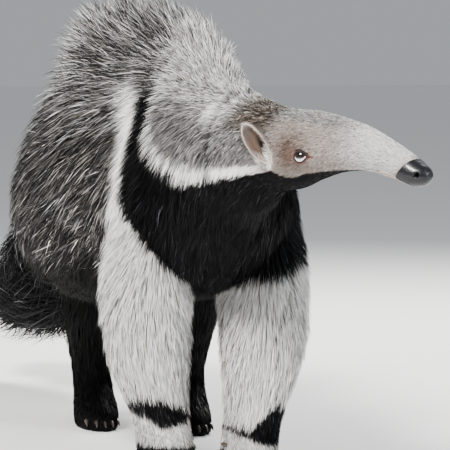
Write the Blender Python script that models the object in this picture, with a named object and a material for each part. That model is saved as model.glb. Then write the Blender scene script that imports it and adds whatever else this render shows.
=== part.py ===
"""Giant anteater, life size, standing, with its head turned to its left.

Metres, +Z up. The animal faces -Y, its left is +X, and it stands on z = 0.
A spine runs from the tip of the nose to the tip of the tail. `ahead` is the distance along it from
the line between the forelegs: positive towards the nose, negative towards the tail.
"""

import math
import random

import bmesh
import bpy
from mathutils import Matrix, Vector
from mathutils.bvhtree import BVHTree

GAP = 0.0003  # between nodes that meet
TRIM_GROWTH = 0.00045  # how far a neighbour is swollen before it trims a node

SHARP_ANGLE = math.radians(50.0)  # edges steeper than this are shaded sharp

# Where the spine is parted into nodes
TAIL_CUT = -0.71
NECK_CUT = 0.135
HEAD_CUT = 0.285

# How the spine bends to the side, in degrees
HEAD_TURN = 34.0
HEAD_BEND = (0.12, 0.34)
TAIL_SWING = 14.0
TAIL_BEND = (-0.72, -1.25)
BODY_BOW = 24.0  # the back bows to the animal's right between the fore and the hind legs
BODY_BOW_LENGTH = 0.62
SPINE_BEYOND = 0.20  # how far its line is carried on past each end, for locks that reach over the end

# Skin over the spine: ahead, height of the centre, half width, reach up, reach down, egg shape
SPINE = (
    ("tail_tip", -1.345, 0.176, 0.004, 0.004, 0.004, 0.0),
    ("tail_end", -1.220, 0.245, 0.011, 0.012, 0.012, 0.0),
    ("tail_middle", -1.000, 0.345, 0.022, 0.025, 0.026, 0.0),
    ("tail_base", -0.820, 0.408, 0.036, 0.042, 0.044, 0.0),
    ("tail_root", -0.710, 0.432, 0.060, 0.066, 0.070, 0.0),
    ("rump", -0.620, 0.440, 0.094, 0.108, 0.108, 0.15),
    ("hips", -0.520, 0.445, 0.112, 0.134, 0.138, 0.34),
    ("loin", -0.400, 0.448, 0.118, 0.142, 0.152, 0.42),
    ("belly", -0.240, 0.445, 0.121, 0.148, 0.160, 0.48),
    ("ribs", -0.100, 0.442, 0.119, 0.152, 0.156, 0.46),
    ("withers", 0.000, 0.445, 0.116, 0.150, 0.150, 0.38),
    ("chest", 0.080, 0.455, 0.098, 0.128, 0.138, 0.24),
    ("neck_base", 0.150, 0.472, 0.080, 0.100, 0.112, 0.12),
    ("neck", 0.215, 0.490, 0.066, 0.078, 0.086, 0.05),
    ("nape", 0.285, 0.498, 0.058, 0.062, 0.066, 0.05),
    ("brow", 0.350, 0.497, 0.049, 0.056, 0.056, 0.00),
    ("cheek", 0.385, 0.499, 0.044, 0.053, 0.045, 0.00),
    ("bridge", 0.430, 0.502, 0.037, 0.042, 0.0355, 0.00),
    ("muzzle", 0.480, 0.498, 0.030, 0.033, 0.028, 0.00),
    ("snout", 0.525, 0.484, 0.0255, 0.0275, 0.0225, 0.00),
    ("nose", 0.562, 0.471, 0.0220, 0.022, 0.0195, 0.00),
    ("nose_end", 0.578, 0.467, 0.0175, 0.0155, 0.0145, 0.00),
    ("nose_tip", 0.586, 0.4665, 0.0125, 0.0105, 0.0100, 0.00),
    ("nose_front", 0.590, 0.466, 0.0060, 0.005, 0.005, 0.00),
)

# Depth of the coat over the skin: ahead, at the side, along the crest, along the underside, and how sharply
# the crest stands up
COAT = (
    (-1.345, 0.004, 0.005, 0.006, 2.0),
    (-1.310, 0.034, 0.040, 0.050, 2.0),
    (-1.220, 0.068, 0.075, 0.110, 2.0),
    (-1.000, 0.086, 0.100, 0.190, 2.0),
    (-0.820, 0.078, 0.100, 0.160, 2.0),
    (-0.710, 0.064, 0.104, 0.105, 3.0),
    (-0.520, 0.054, 0.118, 0.070, 4.5),
    (-0.240, 0.040, 0.128, 0.062, 6.0),
    (-0.100, 0.034, 0.126, 0.045, 6.0),
    (0.000, 0.030, 0.090, 0.036, 5.0),
    (0.080, 0.026, 0.064, 0.034, 4.0),
    (0.150, 0.018, 0.042, 0.032, 3.0),
    (0.215, 0.010, 0.021, 0.030, 2.0),
    (0.285, 0.004, 0.006, 0.024, 2.0),
    (0.350, 0.002, 0.002, 0.010, 2.0),
    (0.430, 0.001, 0.001, 0.002, 2.0),
    (0.590, 0.000, 0.000, 0.000, 2.0),
)
UNDERSIDE_SHARPNESS = 2.0

# Long hair is built as locks that stand out of a core. Short hair lies within the core's own surface.
CORE_SHARE = 0.45  # how far the core reaches towards the tips of the long hair
LONG_HAIR_FROM = (0.10, -0.03)  # behind the shoulder the whole body is long-haired
MANE_FROM = (0.275, 0.225)  # along the crest it starts at the nape
MANE_EDGE = (0.10, 0.60)  # cosine of the angle from the crest where the mane begins
LOCK_STEPS = (0.0, 0.34, 0.70, 1.0)  # along each lock, from root to tip
LOCK_WIDTHS = (0.80, 1.00, 0.62, 0.05)
LOCK_THICKNESSES = (1.00, 0.90, 0.55, 0.12)
LOCK_SEED = 2
LOCK_SINK = 0.008
LOCK_RISE = 1.5  # how soon a lock rises through the coat
LOCK_BEND = 0.05  # added to the girth where a lock's width follows the body
LOCK_HAIR = 0.30  # hair shorter than this share of its long length has no locks
LOCK_CLEARANCE = 0.0025  # from other nodes
LOCK_TESTS = ((0.0, 0.2, 0.4, 0.6, 0.8), (0.3, 0.5, 0.7, 0.9))  # where it is measured, past the sunken root
LOCK_SHORTENED = (1.0, 0.8, 0.6, 0.42)  # shares of its length, tried in turn until a lock is clear
# First and last row, row spacing, furthest angle from the crest in degrees, spacing round the body,
# lengths and widths at the crest, at the side and underneath, and thickness
LOCKS = {
    "neck": (0.262, 0.160, 0.032, 66.0, 0.036, (0.080, 0.060, 0.050), (0.032, 0.040, 0.040), 0.0060),
    "torso": (0.110, -0.690, 0.076, 156.0, 0.066, (0.140, 0.140, 0.110), (0.046, 0.070, 0.064), 0.0085),
    "tail": (-0.735, -1.240, 0.080, 166.0, 0.070, (0.155, 0.170, 0.190), (0.056, 0.066, 0.060), 0.0085),
}
# How the hair lies: degrees down from straight back, at the crest, at the side and underneath
LIE = (0.0, 44.0, 20.0)

SECTION_SIDES = {"nose": 20, "head": 28, "neck": 24, "torso": 24, "tail": 18}
SECTION_STEP = {"nose": 0.009, "head": 0.017, "neck": 0.030, "torso": 0.045, "tail": 0.060}

# Foreleg outline with its hair: height, out from the middle, back from the shoulders, half width, half depth
FORELEG = (
    (0.430, 0.070, 0.010, 0.056, 0.076),
    (0.370, 0.080, 0.008, 0.069, 0.090),
    (0.300, 0.088, 0.006, 0.074, 0.090),
    (0.230, 0.090, 0.006, 0.071, 0.080),
    (0.165, 0.086, 0.004, 0.064, 0.070),
    (0.115, 0.076, 0.000, 0.051, 0.058),
    (0.080, 0.068, -0.004, 0.044, 0.052),
    (0.050, 0.063, -0.008, 0.043, 0.056),
    (0.022, 0.061, -0.012, 0.043, 0.056),
    (0.004, 0.060, -0.012, 0.038, 0.050),
    (0.000, 0.060, -0.012, 0.034, 0.046),
)
# How far each forefoot is ahead of its shoulder, and how far it is moved outwards
FORELEG_REACH = {"left": (0.075, -0.012), "right": (-0.010, 0.0)}

# Hind leg outline with its hair
HINDLEG = (
    (0.430, 0.066, 0.520, 0.052, 0.090),
    (0.350, 0.080, 0.512, 0.062, 0.112),
    (0.270, 0.084, 0.512, 0.058, 0.104),
    (0.200, 0.081, 0.532, 0.048, 0.080),
    (0.140, 0.077, 0.560, 0.038, 0.056),
    (0.095, 0.073, 0.574, 0.032, 0.046),
    (0.060, 0.071, 0.560, 0.032, 0.062),
    (0.030, 0.070, 0.541, 0.035, 0.084),
    (0.008, 0.070, 0.536, 0.034, 0.086),
    (0.000, 0.070, 0.536, 0.031, 0.082),
)
HINDLEG_REACH = {"left": (0.060, 0.0), "right": (-0.030, 0.0)}
LEG_SIDES = 18
LEG_BENDS_FROM = 0.10  # below the top of the leg, where its foot starts to be moved

EYE_RADIUS = 0.0110
EYE_FACETS = (14, 10)  # round it and from pole to pole, alike on the eye and its socket
EYE_AHEAD = 0.386
EYE_HEIGHT = -0.011  # from the spine's centre
EYE_DEPTH = 0.0085  # how far the middle of the eye lies inside the skin
EYE_LOOK = (0.93, 0.34, 0.08)  # outwards, forwards and up
SOCKET_GAP = 1.6 * GAP
LID_THICKNESS = 0.0026
LID_MOUND = (1.0, 1.25, 1.05)  # outwards, along the slit and across it
LID_SUNK = 0.0012
LID_DEPTH = 0.0075
LID_LENGTH = 0.0105  # half length of the slit between the lids
LID_OPENING = 0.0064  # half height of that slit

EAR_AHEAD = 0.334
EAR_LENGTH = 0.074
EAR_WIDTH = 0.036
EAR_DEPTH = 0.015
EAR_WALL = 0.0030
EAR_ROOT = -0.15  # cosine of its angle from the crest
EAR_FACING = (0.92, 0.42)  # outwards and forwards
EAR_UPRIGHT = (0.80, 0.52, 0.24)  # up, backwards and outwards
EAR_RAISED = 0.30  # share of its length that its middle stands above the root
EAR_OFF = 0.003
EAR_HOLLOW = (0.4, 1.0, 1.3, 1.4)  # walls taken off each half size, and how far the hollow is moved out
EAR_OPEN = 0.25  # share of its depth where the shell ends
EAR_FACETS = (14, 10)

NOSE_CUT = 0.543
NOSE_OVERLAP = 0.01
NOSTRIL_RADIUS = 0.0040
NOSTRIL_BACK = 0.010  # from the tip
NOSTRIL_OUT = 0.0170
NOSTRIL_RAISED = 0.001
NOSTRIL_PITS = ((0.0, 0.0, 1.0), (0.0028, 0.0045, 0.62))  # drop, back, share of the radius
NOSTRIL_SLANT = 0.35
NOSTRIL_FACETS = (10, 6)
MOUTH_LENGTH = 0.072  # from the tip to the corner
MOUTH_DROP_BACK = 0.0165  # how far the slit runs under the spine's centre
MOUTH_DROP_FRONT = 0.0290
MOUTH_SLIT = 0.0012
BLOCK = 0.8  # cutters that take a whole end away

# The claws of a forefoot are folded back along its inner side: claw, height, length, radius
FORE_CLAWS = (
    ("third", 0.0150, 0.068, 0.0086),
    ("second", 0.0335, 0.056, 0.0072),
    ("first", 0.0480, 0.030, 0.0050),
)
FORE_CLAW_ROOT = (0.80, 0.25)  # shares of the foot's half width inwards and half depth forwards
FORE_CLAW_ALONG = (0.45, 0.80)  # inwards and backwards
FORE_CLAW_CURL = (0.85, 0.50)  # then outwards and backwards
FORE_CLAW_BEND = 64.0
HIND_CLAWS = (-0.025, -0.0125, 0.0, 0.0125, 0.025)  # across the toes
HIND_CLAW_LENGTH = 0.024
HIND_CLAW_RADIUS = 0.0046
HIND_CLAW_HEIGHT = 0.016
HIND_CLAW_SINK = 0.006
HIND_CLAW_SPREAD = 4.0
HIND_CLAW_DROP = 0.05
HIND_CLAW_BEND = 48.0
CLAW_TAPER = (0.86, 1.4)  # share lost at the tip, and how late
CLAW_FLATNESS = 0.8
CLAW_SIDES = 6

COLOURS = {
    "head": ((0.36, 0.33, 0.30), 0.75),
    "neck": ((0.27, 0.26, 0.25), 0.80),
    "torso": ((0.22, 0.21, 0.20), 0.85),
    "tail": ((0.10, 0.09, 0.085), 0.85),
    "foreleg": ((0.66, 0.65, 0.62), 0.80),
    "hindleg": ((0.055, 0.05, 0.048), 0.80),
    "ear": ((0.38, 0.33, 0.28), 0.70),
    "nose": ((0.02, 0.02, 0.024), 0.25),
    "eye": ((0.03, 0.02, 0.015), 0.08),
    "claw": ((0.12, 0.10, 0.085), 0.45),
}


def clear_scene():
    for obj in list(bpy.data.objects):
        bpy.data.objects.remove(obj)


def new_collection(name):
    collection = bpy.data.collections.new(name)
    bpy.context.scene.collection.children.link(collection)
    return collection


def material(kind):
    """The Principled material of one kind of node, made once."""
    name = f"anteater_{kind}"
    if name in bpy.data.materials:
        return bpy.data.materials[name]
    colour, roughness = COLOURS[kind]
    made = bpy.data.materials.new(name)
    made.use_nodes = True
    shader = made.node_tree.nodes["Principled BSDF"]
    shader.inputs["Base Color"].default_value = (*colour, 1.0)
    shader.inputs["Roughness"].default_value = roughness
    shader.inputs["Metallic"].default_value = 0.0
    return made


def smooth_step(value, start, end):
    share = min(1.0, max(0.0, (value - start) / (end - start)))
    return share * share * (3.0 - 2.0 * share)


def curve_through(table, key, column):
    """Value of one column of a table at `key`, on a smooth curve through its rows."""
    last = len(table) - 1
    row = max(i for i in range(last) if i == 0 or table[i][0] <= key)
    low, high = table[row], table[row + 1]
    before, after = table[max(row - 1, 0)], table[min(row + 2, last)]
    span = high[0] - low[0]
    share = min(1.0, max(0.0, (key - low[0]) / span))
    slope_low = (high[column] - before[column]) / (high[0] - before[0]) * span
    slope_high = (after[column] - low[column]) / (after[0] - low[0]) * span
    a, b = share * share * (3.0 - 2.0 * share), share - share * share
    return (
        low[column] * (1.0 - a)
        + high[column] * a
        + b * ((1.0 - share) * slope_low - share * slope_high)
    )


UP = Vector((0.0, 0.0, 1.0))
SPINE_ROWS = tuple(row[1:] for row in SPINE)


def heading(ahead):
    """How far the spine is turned from straight ahead there, to the animal's left, in radians."""
    turn = HEAD_TURN * smooth_step(ahead, *HEAD_BEND)
    swing = TAIL_SWING * smooth_step(-ahead, -TAIL_BEND[0], -TAIL_BEND[1])
    along = min(1.0, max(0.0, -ahead / BODY_BOW_LENGTH))
    bow = BODY_BOW * math.sin(2.0 * math.pi * along)
    return math.radians(turn + swing + bow)


def walk_spine(step=0.005):
    """Plan position of the spine at even steps, from the forelegs to each end."""
    places = {0: (0.0, 0.0)}
    for way, end in ((1, SPINE[-1][1]), (-1, SPINE[0][1])):
        x = y = 0.0
        for i in range(1, int((abs(end) + SPINE_BEYOND) / step)):
            angle = heading(way * (i - 0.5) * step)
            x += way * step * math.sin(angle)
            y -= way * step * math.cos(angle)
            places[way * i] = (x, y)
    return places, step


PLACES, PLACE_STEP = walk_spine()


def spine_frame(ahead):
    """Point on the spine, with the directions to the animal's left and forward."""
    index = math.floor(ahead / PLACE_STEP)
    share = ahead / PLACE_STEP - index
    a, b = PLACES[index], PLACES[index + 1]
    angle = heading(ahead)
    height = curve_through(SPINE_ROWS, ahead, 1)
    centre = Vector((a[0] + (b[0] - a[0]) * share, a[1] + (b[1] - a[1]) * share, height))
    left = Vector((math.cos(angle), math.sin(angle), 0.0))
    forward = Vector((math.sin(angle), -math.cos(angle), 0.0))
    return centre, left, forward


def coat_depth(ahead, around):
    """How far the coat reaches out of the skin. `around` is 0 at the crest and pi at the underside."""
    side, crest, under, sharpness = (curve_through(COAT, ahead, column) for column in (1, 2, 3, 4))
    up = max(0.0, math.cos(around)) ** sharpness
    down = max(0.0, -math.cos(around)) ** UNDERSIDE_SHARPNESS
    return side + (crest - side) * up + (under - side) * down


def skin_point(ahead, around, coat_share=0.0, lift=0.0):
    """Point of the body's surface, with a share of the coat's depth added."""
    centre, left, _ = spine_frame(ahead)
    width, up, down, egg = (curve_through(SPINE_ROWS, ahead, column) for column in (2, 3, 4, 5))
    height = up if math.cos(around) > 0.0 else down
    depth = coat_depth(ahead, around) * coat_share + lift
    across = (width * (1.0 - egg * math.cos(around)) + depth) * math.sin(around)
    above = (height + depth) * math.cos(around)
    return centre + left * across + Vector((0.0, 0.0, above))


def long_hair(ahead, around):
    """1 where the coat is long enough to be built as locks, 0 where it is short, smooth between."""
    body = smooth_step(-ahead, -LONG_HAIR_FROM[0], -LONG_HAIR_FROM[1])
    mane = smooth_step(-ahead, -MANE_FROM[0], -MANE_FROM[1]) * smooth_step(math.cos(around), *MANE_EDGE)
    return max(body, mane)


def core_share(ahead, around):
    return 1.0 - (1.0 - CORE_SHARE) * long_hair(ahead, around)


def loft(name, kind, rings, collection):
    """A closed body through rings of equal point count, capped at both ends, facing outwards."""
    mesh = bpy.data.meshes.new(name)
    shape = bmesh.new()
    made = [[shape.verts.new(point) for point in ring] for ring in rings]
    for low, high in zip(made, made[1:]):
        for i in range(len(low)):
            j = (i + 1) % len(low)
            shape.faces.new((low[i], low[j], high[j], high[i]))
    shape.faces.new(list(reversed(made[0])))
    shape.faces.new(made[-1])
    bmesh.ops.recalc_face_normals(shape, faces=shape.faces)
    bmesh.ops.triangulate(shape, faces=shape.faces)
    shape.to_mesh(mesh)
    shape.free()
    mesh.shade_smooth()
    mesh.set_sharp_from_angle(angle=SHARP_ANGLE)
    obj = bpy.data.objects.new(name, mesh)
    obj.data.materials.append(material(kind))
    collection.objects.link(obj)
    return obj


def spaced(start, end, step):
    """Even stations from start to end, about a step apart."""
    count = max(1, round(abs(end - start) / step))
    return [start + (end - start) * i / count for i in range(count + 1)]


def spine_node(name, start, end, collection):
    """The node of the spine between two cuts, out to its short hair or to the core of its long hair."""
    sides = SECTION_SIDES[name]
    rings = []
    for ahead in spaced(start, end, SECTION_STEP[name]):
        angles = [2.0 * math.pi * i / sides for i in range(sides)]
        rings.append([skin_point(ahead, angle, core_share(ahead, angle)) for angle in angles])
    return loft(name, name, rings, collection)


def leg(name, kind, table, side, reach, collection):
    """One leg, foot included, as a loft down its outline table. The foot is moved `reach` ahead."""
    sign = 1.0 if side == "left" else -1.0
    top = table[0][0]
    rings = []
    for height, out, back, half_width, half_depth in table:
        lowered = smooth_step(top - height, LEG_BENDS_FROM, top)
        out += reach[1] * lowered
        moved = reach[0] * lowered
        ring = []
        for i in range(LEG_SIDES):
            angle = 2.0 * math.pi * i / LEG_SIDES
            x = sign * out + half_width * math.cos(angle)
            y = back - moved + half_depth * math.sin(angle)
            ring.append(Vector((x, y, height)))
        rings.append(ring)
    return loft(name, kind, rings, collection)


def apply_boolean(obj, operand, operation, solver="EXACT"):
    """One Boolean with an object or a collection, applied."""
    modifier = obj.modifiers.new("join", "BOOLEAN")
    modifier.operation = operation
    modifier.solver = solver
    if isinstance(operand, bpy.types.Collection):
        modifier.operand_type = "COLLECTION"
        modifier.collection = operand
    else:
        modifier.object = operand
    bpy.context.view_layer.update()
    graph = bpy.context.evaluated_depsgraph_get()
    made = bpy.data.meshes.new_from_object(obj.evaluated_get(graph))
    obj.modifiers.clear()
    obj.data = made


def keep_largest(obj):
    """Leaves only the largest closed surface of a node."""
    shape = bmesh.new()
    shape.from_mesh(obj.data)
    unseen, islands = set(shape.faces), []
    while unseen:
        island, edge = set(), [next(iter(unseen))]
        while edge:
            face = edge.pop()
            if face not in island:
                island.add(face)
                edge.extend(f for e in face.edges for f in e.link_faces if f not in island)
        unseen -= island
        islands.append(island)
    largest = max(islands, key=lambda island: sum(face.calc_area() for face in island))
    dropped = [face for island in islands if island is not largest for face in island]
    bmesh.ops.delete(shape, geom=dropped, context="FACES")
    shape.to_mesh(obj.data)
    shape.free()


def swollen(obj):
    """A copy of a node grown by a little more than the gap."""
    grown = obj.copy()
    grown.data = obj.data.copy()
    bpy.context.scene.collection.objects.link(grown)
    normals = [Vector(vertex.normal) for vertex in grown.data.vertices]
    for vertex, normal in zip(grown.data.vertices, normals):
        vertex.co += normal * TRIM_GROWTH
    return grown


def trim(obj, neighbour, solver="EXACT"):
    """Cuts a node back to the face of its neighbour, with the gap between them."""
    grown = swollen(neighbour)
    apply_boolean(obj, grown, "DIFFERENCE", solver)
    bpy.data.objects.remove(grown)
    keep_largest(obj)


def ball(name, kind, centre, size, collection, segments, rings):
    """An ellipsoid of three half sizes."""
    mesh = bpy.data.meshes.new(name)
    shape = bmesh.new()
    bmesh.ops.create_uvsphere(shape, u_segments=segments, v_segments=rings, radius=1.0)
    shape.to_mesh(mesh)
    shape.free()
    mesh.shade_smooth()
    obj = bpy.data.objects.new(name, mesh)
    obj.data.materials.append(material(kind))
    collection.objects.link(obj)
    obj.data.transform(Matrix.Diagonal((*size, 1.0)))
    obj.location = centre
    return obj


def face_along(obj, out, up):
    """Turns an object so that its own X looks out and its own Z lies towards up."""
    out = out.normalized()
    across = up.cross(out).normalized()
    rotation = Matrix((out, across, out.cross(across))).transposed()
    obj.rotation_euler = rotation.to_euler()


def side_angle(side, height_share):
    """Angle round the section for a point on one flank, above or below the middle."""
    angle = math.acos(height_share)
    return angle if side == "left" else -angle


def eye_place(side):
    """Middle of the eye, with the direction that it looks in."""
    centre, left, forward = spine_frame(EYE_AHEAD)
    sign = 1.0 if side == "left" else -1.0
    width = curve_through(SPINE_ROWS, EYE_AHEAD, 2)
    middle = centre + left * sign * (width - EYE_DEPTH) + UP * EYE_HEIGHT
    out = left * sign * EYE_LOOK[0] + forward * EYE_LOOK[1] + UP * EYE_LOOK[2]
    return middle, out.normalized()


def remove_all(objects):
    for obj in list(objects):
        bpy.data.objects.remove(obj)


def is_closed(mesh):
    """Whether every edge joins exactly two faces."""
    shape = bmesh.new()
    shape.from_mesh(mesh)
    closed = all(len(edge.link_faces) == 2 for edge in shape.edges)
    shape.free()
    return closed


def boolean_group(obj, operation, make, solver="EXACT"):
    """Makes pieces in a collection of their own, joins or cuts them all at once, and removes them."""
    group = new_collection("pieces")
    make(group)
    apply_boolean(obj, group, operation, solver)
    remove_all(group.objects)
    bpy.data.collections.remove(group)


def lid_mounds(group):
    """The swelling of the lids round each eye."""
    for side in ("left", "right"):
        middle, out = eye_place(side)
        size = [(EYE_RADIUS + LID_THICKNESS) * share for share in LID_MOUND]
        mound = ball("mound", "head", middle - out * LID_SUNK, size, group, 16, 12)
        face_along(mound, out, UP)


def eye_sockets(group):
    for side in ("left", "right"):
        middle, _ = eye_place(side)
        ball("socket", "head", middle, (EYE_RADIUS + SOCKET_GAP,) * 3, group, *EYE_FACETS)


def eye_slits(group):
    """The almond-shaped opening between the lids of each eye."""
    for side in ("left", "right"):
        middle, out = eye_place(side)
        size = (LID_DEPTH, LID_LENGTH, LID_OPENING)
        slit = ball("slit", "head", middle + out * EYE_RADIUS, size, group, *EYE_FACETS)
        face_along(slit, out, UP)


def block(group, back_face, along, up, size):
    """A box that starts at its back face and runs `size` = (length, width, height) along a direction."""
    bpy.ops.mesh.primitive_cube_add(size=1.0)
    made = bpy.context.object
    for collection in made.users_collection:
        collection.objects.unlink(made)
    group.objects.link(made)
    made.data.transform(Matrix.Diagonal((*size, 1.0)))
    made.location = back_face + along.normalized() * size[0] / 2.0
    face_along(made, along, up)
    return made


def mouth_line():
    """Where the corner of the mouth lies, with the direction from there along the lips to the front."""
    tip = SPINE[-1][1]
    back, _, _ = spine_frame(tip - MOUTH_LENGTH)
    front, _, _ = spine_frame(tip)
    corner = back - UP * MOUTH_DROP_BACK
    return corner, (front - UP * MOUTH_DROP_FRONT - corner).normalized()


def mouth_slit(group):
    """The thin slit between the lips, right through the end of the snout."""
    corner, along = mouth_line()
    block(group, corner, along, UP, (BLOCK, BLOCK, MOUTH_SLIT))


def nose_block(group, growth):
    """A box round the bare nose pad: all in front of the cut and above the mouth, grown by a little."""
    corner, along = mouth_line()
    across = Vector((-along.y, along.x, 0.0)).normalized()
    above = along.cross(across)
    above = above if above.z > 0.0 else -above
    back = NOSE_CUT - SPINE[-1][1] + MOUTH_LENGTH - growth
    rise = MOUTH_SLIT / 2.0 - growth + BLOCK / 2.0
    block(group, corner + along * back + above * rise, along, UP, (BLOCK, BLOCK, BLOCK))


def nostrils(group):
    """A comma-shaped pit on each side of the end of the nose."""
    centre, left, forward = spine_frame(SPINE[-1][1] - NOSTRIL_BACK)
    for sign in (-1.0, 1.0):
        for drop, back, share in NOSTRIL_PITS:
            out = left * sign * (NOSTRIL_OUT + back * NOSTRIL_SLANT)
            place = centre + out - forward * back + UP * (NOSTRIL_RAISED - drop)
            ball("pit", "nose", place, (NOSTRIL_RADIUS * share,) * 3, group, *NOSTRIL_FACETS)


def build_head(collection):
    head = spine_node("head", HEAD_CUT + GAP, SPINE[-1][1], collection)
    boolean_group(head, "UNION", lid_mounds)
    boolean_group(head, "DIFFERENCE", eye_sockets)
    boolean_group(head, "DIFFERENCE", eye_slits)
    boolean_group(head, "DIFFERENCE", mouth_slit, "MANIFOLD")
    boolean_group(head, "DIFFERENCE", lambda group: nose_block(group, GAP), "MANIFOLD")
    keep_largest(head)
    return head


def build_eyes(collection):
    for side in ("left", "right"):
        middle, _ = eye_place(side)
        ball(f"eye_{side}", "eye", middle, (EYE_RADIUS,) * 3, collection, *EYE_FACETS)


def build_nose(collection):
    """The bare black pad at the end of the snout, above the mouth, with its nostrils."""
    nose = spine_node("nose", NOSE_CUT - NOSE_OVERLAP, SPINE[-1][1], collection)
    boolean_group(nose, "INTERSECT", lambda group: nose_block(group, 0.0), "MANIFOLD")
    boolean_group(nose, "DIFFERENCE", nostrils)
    keep_largest(nose)
    return nose


def ear_shell(side, head, neck, collection):
    """A rounded cup that opens outwards and forwards, rooted on the head."""
    sign = 1.0 if side == "left" else -1.0
    root = skin_point(EAR_AHEAD, side_angle(side, EAR_ROOT), 1.0)
    _, left, forward = spine_frame(EAR_AHEAD)
    out = (left * sign * EAR_FACING[0] + forward * EAR_FACING[1]).normalized()
    lie = (UP * EAR_UPRIGHT[0] - forward * EAR_UPRIGHT[1] + left * sign * EAR_UPRIGHT[2]).normalized()
    middle = root + lie * EAR_LENGTH * EAR_RAISED + out * EAR_OFF
    size = (EAR_DEPTH, EAR_WIDTH / 2.0, EAR_LENGTH / 2.0)
    hollow_size = [half - EAR_WALL * walls for half, walls in zip(size, EAR_HOLLOW)]

    def cutters(group):
        hollow = ball("hollow", "ear", middle + out * EAR_WALL * EAR_HOLLOW[3], hollow_size, group, *EAR_FACETS)
        face_along(hollow, out, lie)
        block(group, middle + out * EAR_DEPTH * EAR_OPEN, out, lie, (EAR_LENGTH,) * 3)

    ear = ball(f"ear_{side}", "ear", middle, size, collection, *EAR_FACETS)
    face_along(ear, out, lie)
    boolean_group(ear, "DIFFERENCE", cutters)
    keep_largest(ear)
    trim(ear, head)
    trim(ear, neck)
    return ear


def by_angle(values, around):
    """Value at an angle from the crest, between those given for the crest, the side and underneath."""
    crest, side, under = values
    share = math.cos(around)
    return side + (crest - side) * max(0.0, share) + (under - side) * max(0.0, -share)


def lock_rings(ahead, around, length, width, thickness, fall, tip_share):
    """Rings of a flat, tapered lock from its root in the core, up through the coat and back along its lie."""
    side = 1.0 if around >= 0.0 else -1.0
    centre, _, _ = spine_frame(ahead)
    girth = (skin_point(ahead, around, CORE_SHARE) - centre).length
    depth = max(0.01, coat_depth(ahead, around))
    root_share = core_share(ahead, around) - LOCK_SINK / depth
    back, down = length * math.cos(fall), length * math.sin(fall)

    def path(t, lift=0.0):
        share = root_share + (tip_share - root_share) * (1.0 - (1.0 - t) ** LOCK_RISE)
        return skin_point(ahead - back * t, around + side * down * t / girth, share, lift)

    rings = []
    for t, wide, thick in zip(LOCK_STEPS, LOCK_WIDTHS, LOCK_THICKNESSES):
        middle = path(t)
        along = (path(min(1.0, t + 0.05)) - path(max(0.0, t - 0.05))).normalized()
        outward = (path(t, 0.01) - middle).normalized()
        across = along.cross(outward).normalized()
        outward = across.cross(along).normalized()
        half = width * wide / 2.0
        edge = outward * half * half / (2.0 * (girth + LOCK_BEND))
        high = outward * thickness * thick / 2.0
        rings.append([middle - across * half - edge, middle + across * half - edge, middle + high])
    return rings


def beside_cut(point, cut, side):
    """Distance of a point from a cut through the spine, positive on the side of the node."""
    centre, _, forward = spine_frame(cut)
    return (point - centre).dot(forward) * side


def is_clear(rings, limits, trees):
    """Whether a lock stays on its node's side of each cut and outside its neighbours."""
    points = list(rings[-1])
    for low, high in zip(rings, rings[1:]):
        for i in range(len(low)):
            j = (i + 1) % len(low)
            for share in LOCK_TESTS[low is rings[0]]:
                edge = low[i].lerp(high[i], share)
                points.extend((edge, edge.lerp(low[j].lerp(high[j], share), 0.5)))
    for cut, side in limits:
        if any(beside_cut(point, cut, side) < LOCK_CLEARANCE for point in points + rings[0]):
            return False
    for tree in trees:
        for point in points:
            place, normal, _, distance = tree.find_nearest(point)
            if distance < LOCK_CLEARANCE or (point - place).dot(normal) < 0.0:
                return False
    return True


def lock_roots(node, draw):
    """Rows of roots, each row set between those of the row before, and each root moved a little."""
    first, last, row_step, furthest, spacing, _, _, _ = LOCKS[node]
    rows = spaced(first, last, row_step)
    for number, row in enumerate(rows):
        centre, _, _ = spine_frame(row)
        angle = 0.0 if number % 2 else 0.5
        while True:
            girth = (skin_point(row, math.radians(90.0), CORE_SHARE) - centre).length
            around = angle * spacing / girth
            if math.degrees(around) > furthest:
                break
            for side in (1.0, -1.0) if around > 0.0 else (1.0,):
                ahead = row + draw.uniform(-0.25, 0.25) * row_step
                yield ahead, side * around + draw.uniform(-0.2, 0.2) * spacing / girth
            angle += 1.0


def surface_tree(obj):
    """The closed surface of an object, for measuring distances to it."""
    shape = bmesh.new()
    shape.from_mesh(obj.data)
    tree = BVHTree.FromBMesh(shape)
    shape.free()
    return tree


def add_locks(obj, limits, neighbours):
    """Covers a node's core with locks in one union. Those that would cross a neighbour are made shorter."""
    node = obj.name
    _, _, _, _, _, lengths, widths, thickness = LOCKS[node]
    draw = random.Random(f"{node} {LOCK_SEED}")
    group = new_collection("locks")
    for ahead, around in lock_roots(node, draw):
        length = by_angle(lengths, around) * draw.uniform(0.85, 1.2)
        fall = math.radians(by_angle(LIE, around) + draw.uniform(-14.0, 14.0))
        width = by_angle(widths, around) * draw.uniform(0.85, 1.15)
        tip_share = draw.uniform(0.86, 1.0)
        if long_hair(ahead, around) < LOCK_HAIR:
            continue
        for shortened in LOCK_SHORTENED:
            rings = lock_rings(ahead, around, length * shortened, width, thickness, fall, tip_share)
            if is_clear(rings, limits, neighbours):
                loft("lock", node, rings, group)
                break
    core = obj.data
    for solver in ("EXACT", "MANIFOLD"):
        obj.data = core
        apply_boolean(obj, group, "UNION", solver)
        keep_largest(obj)
        if is_closed(obj.data):
            break
    remove_all(group.objects)
    bpy.data.collections.remove(group)


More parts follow.
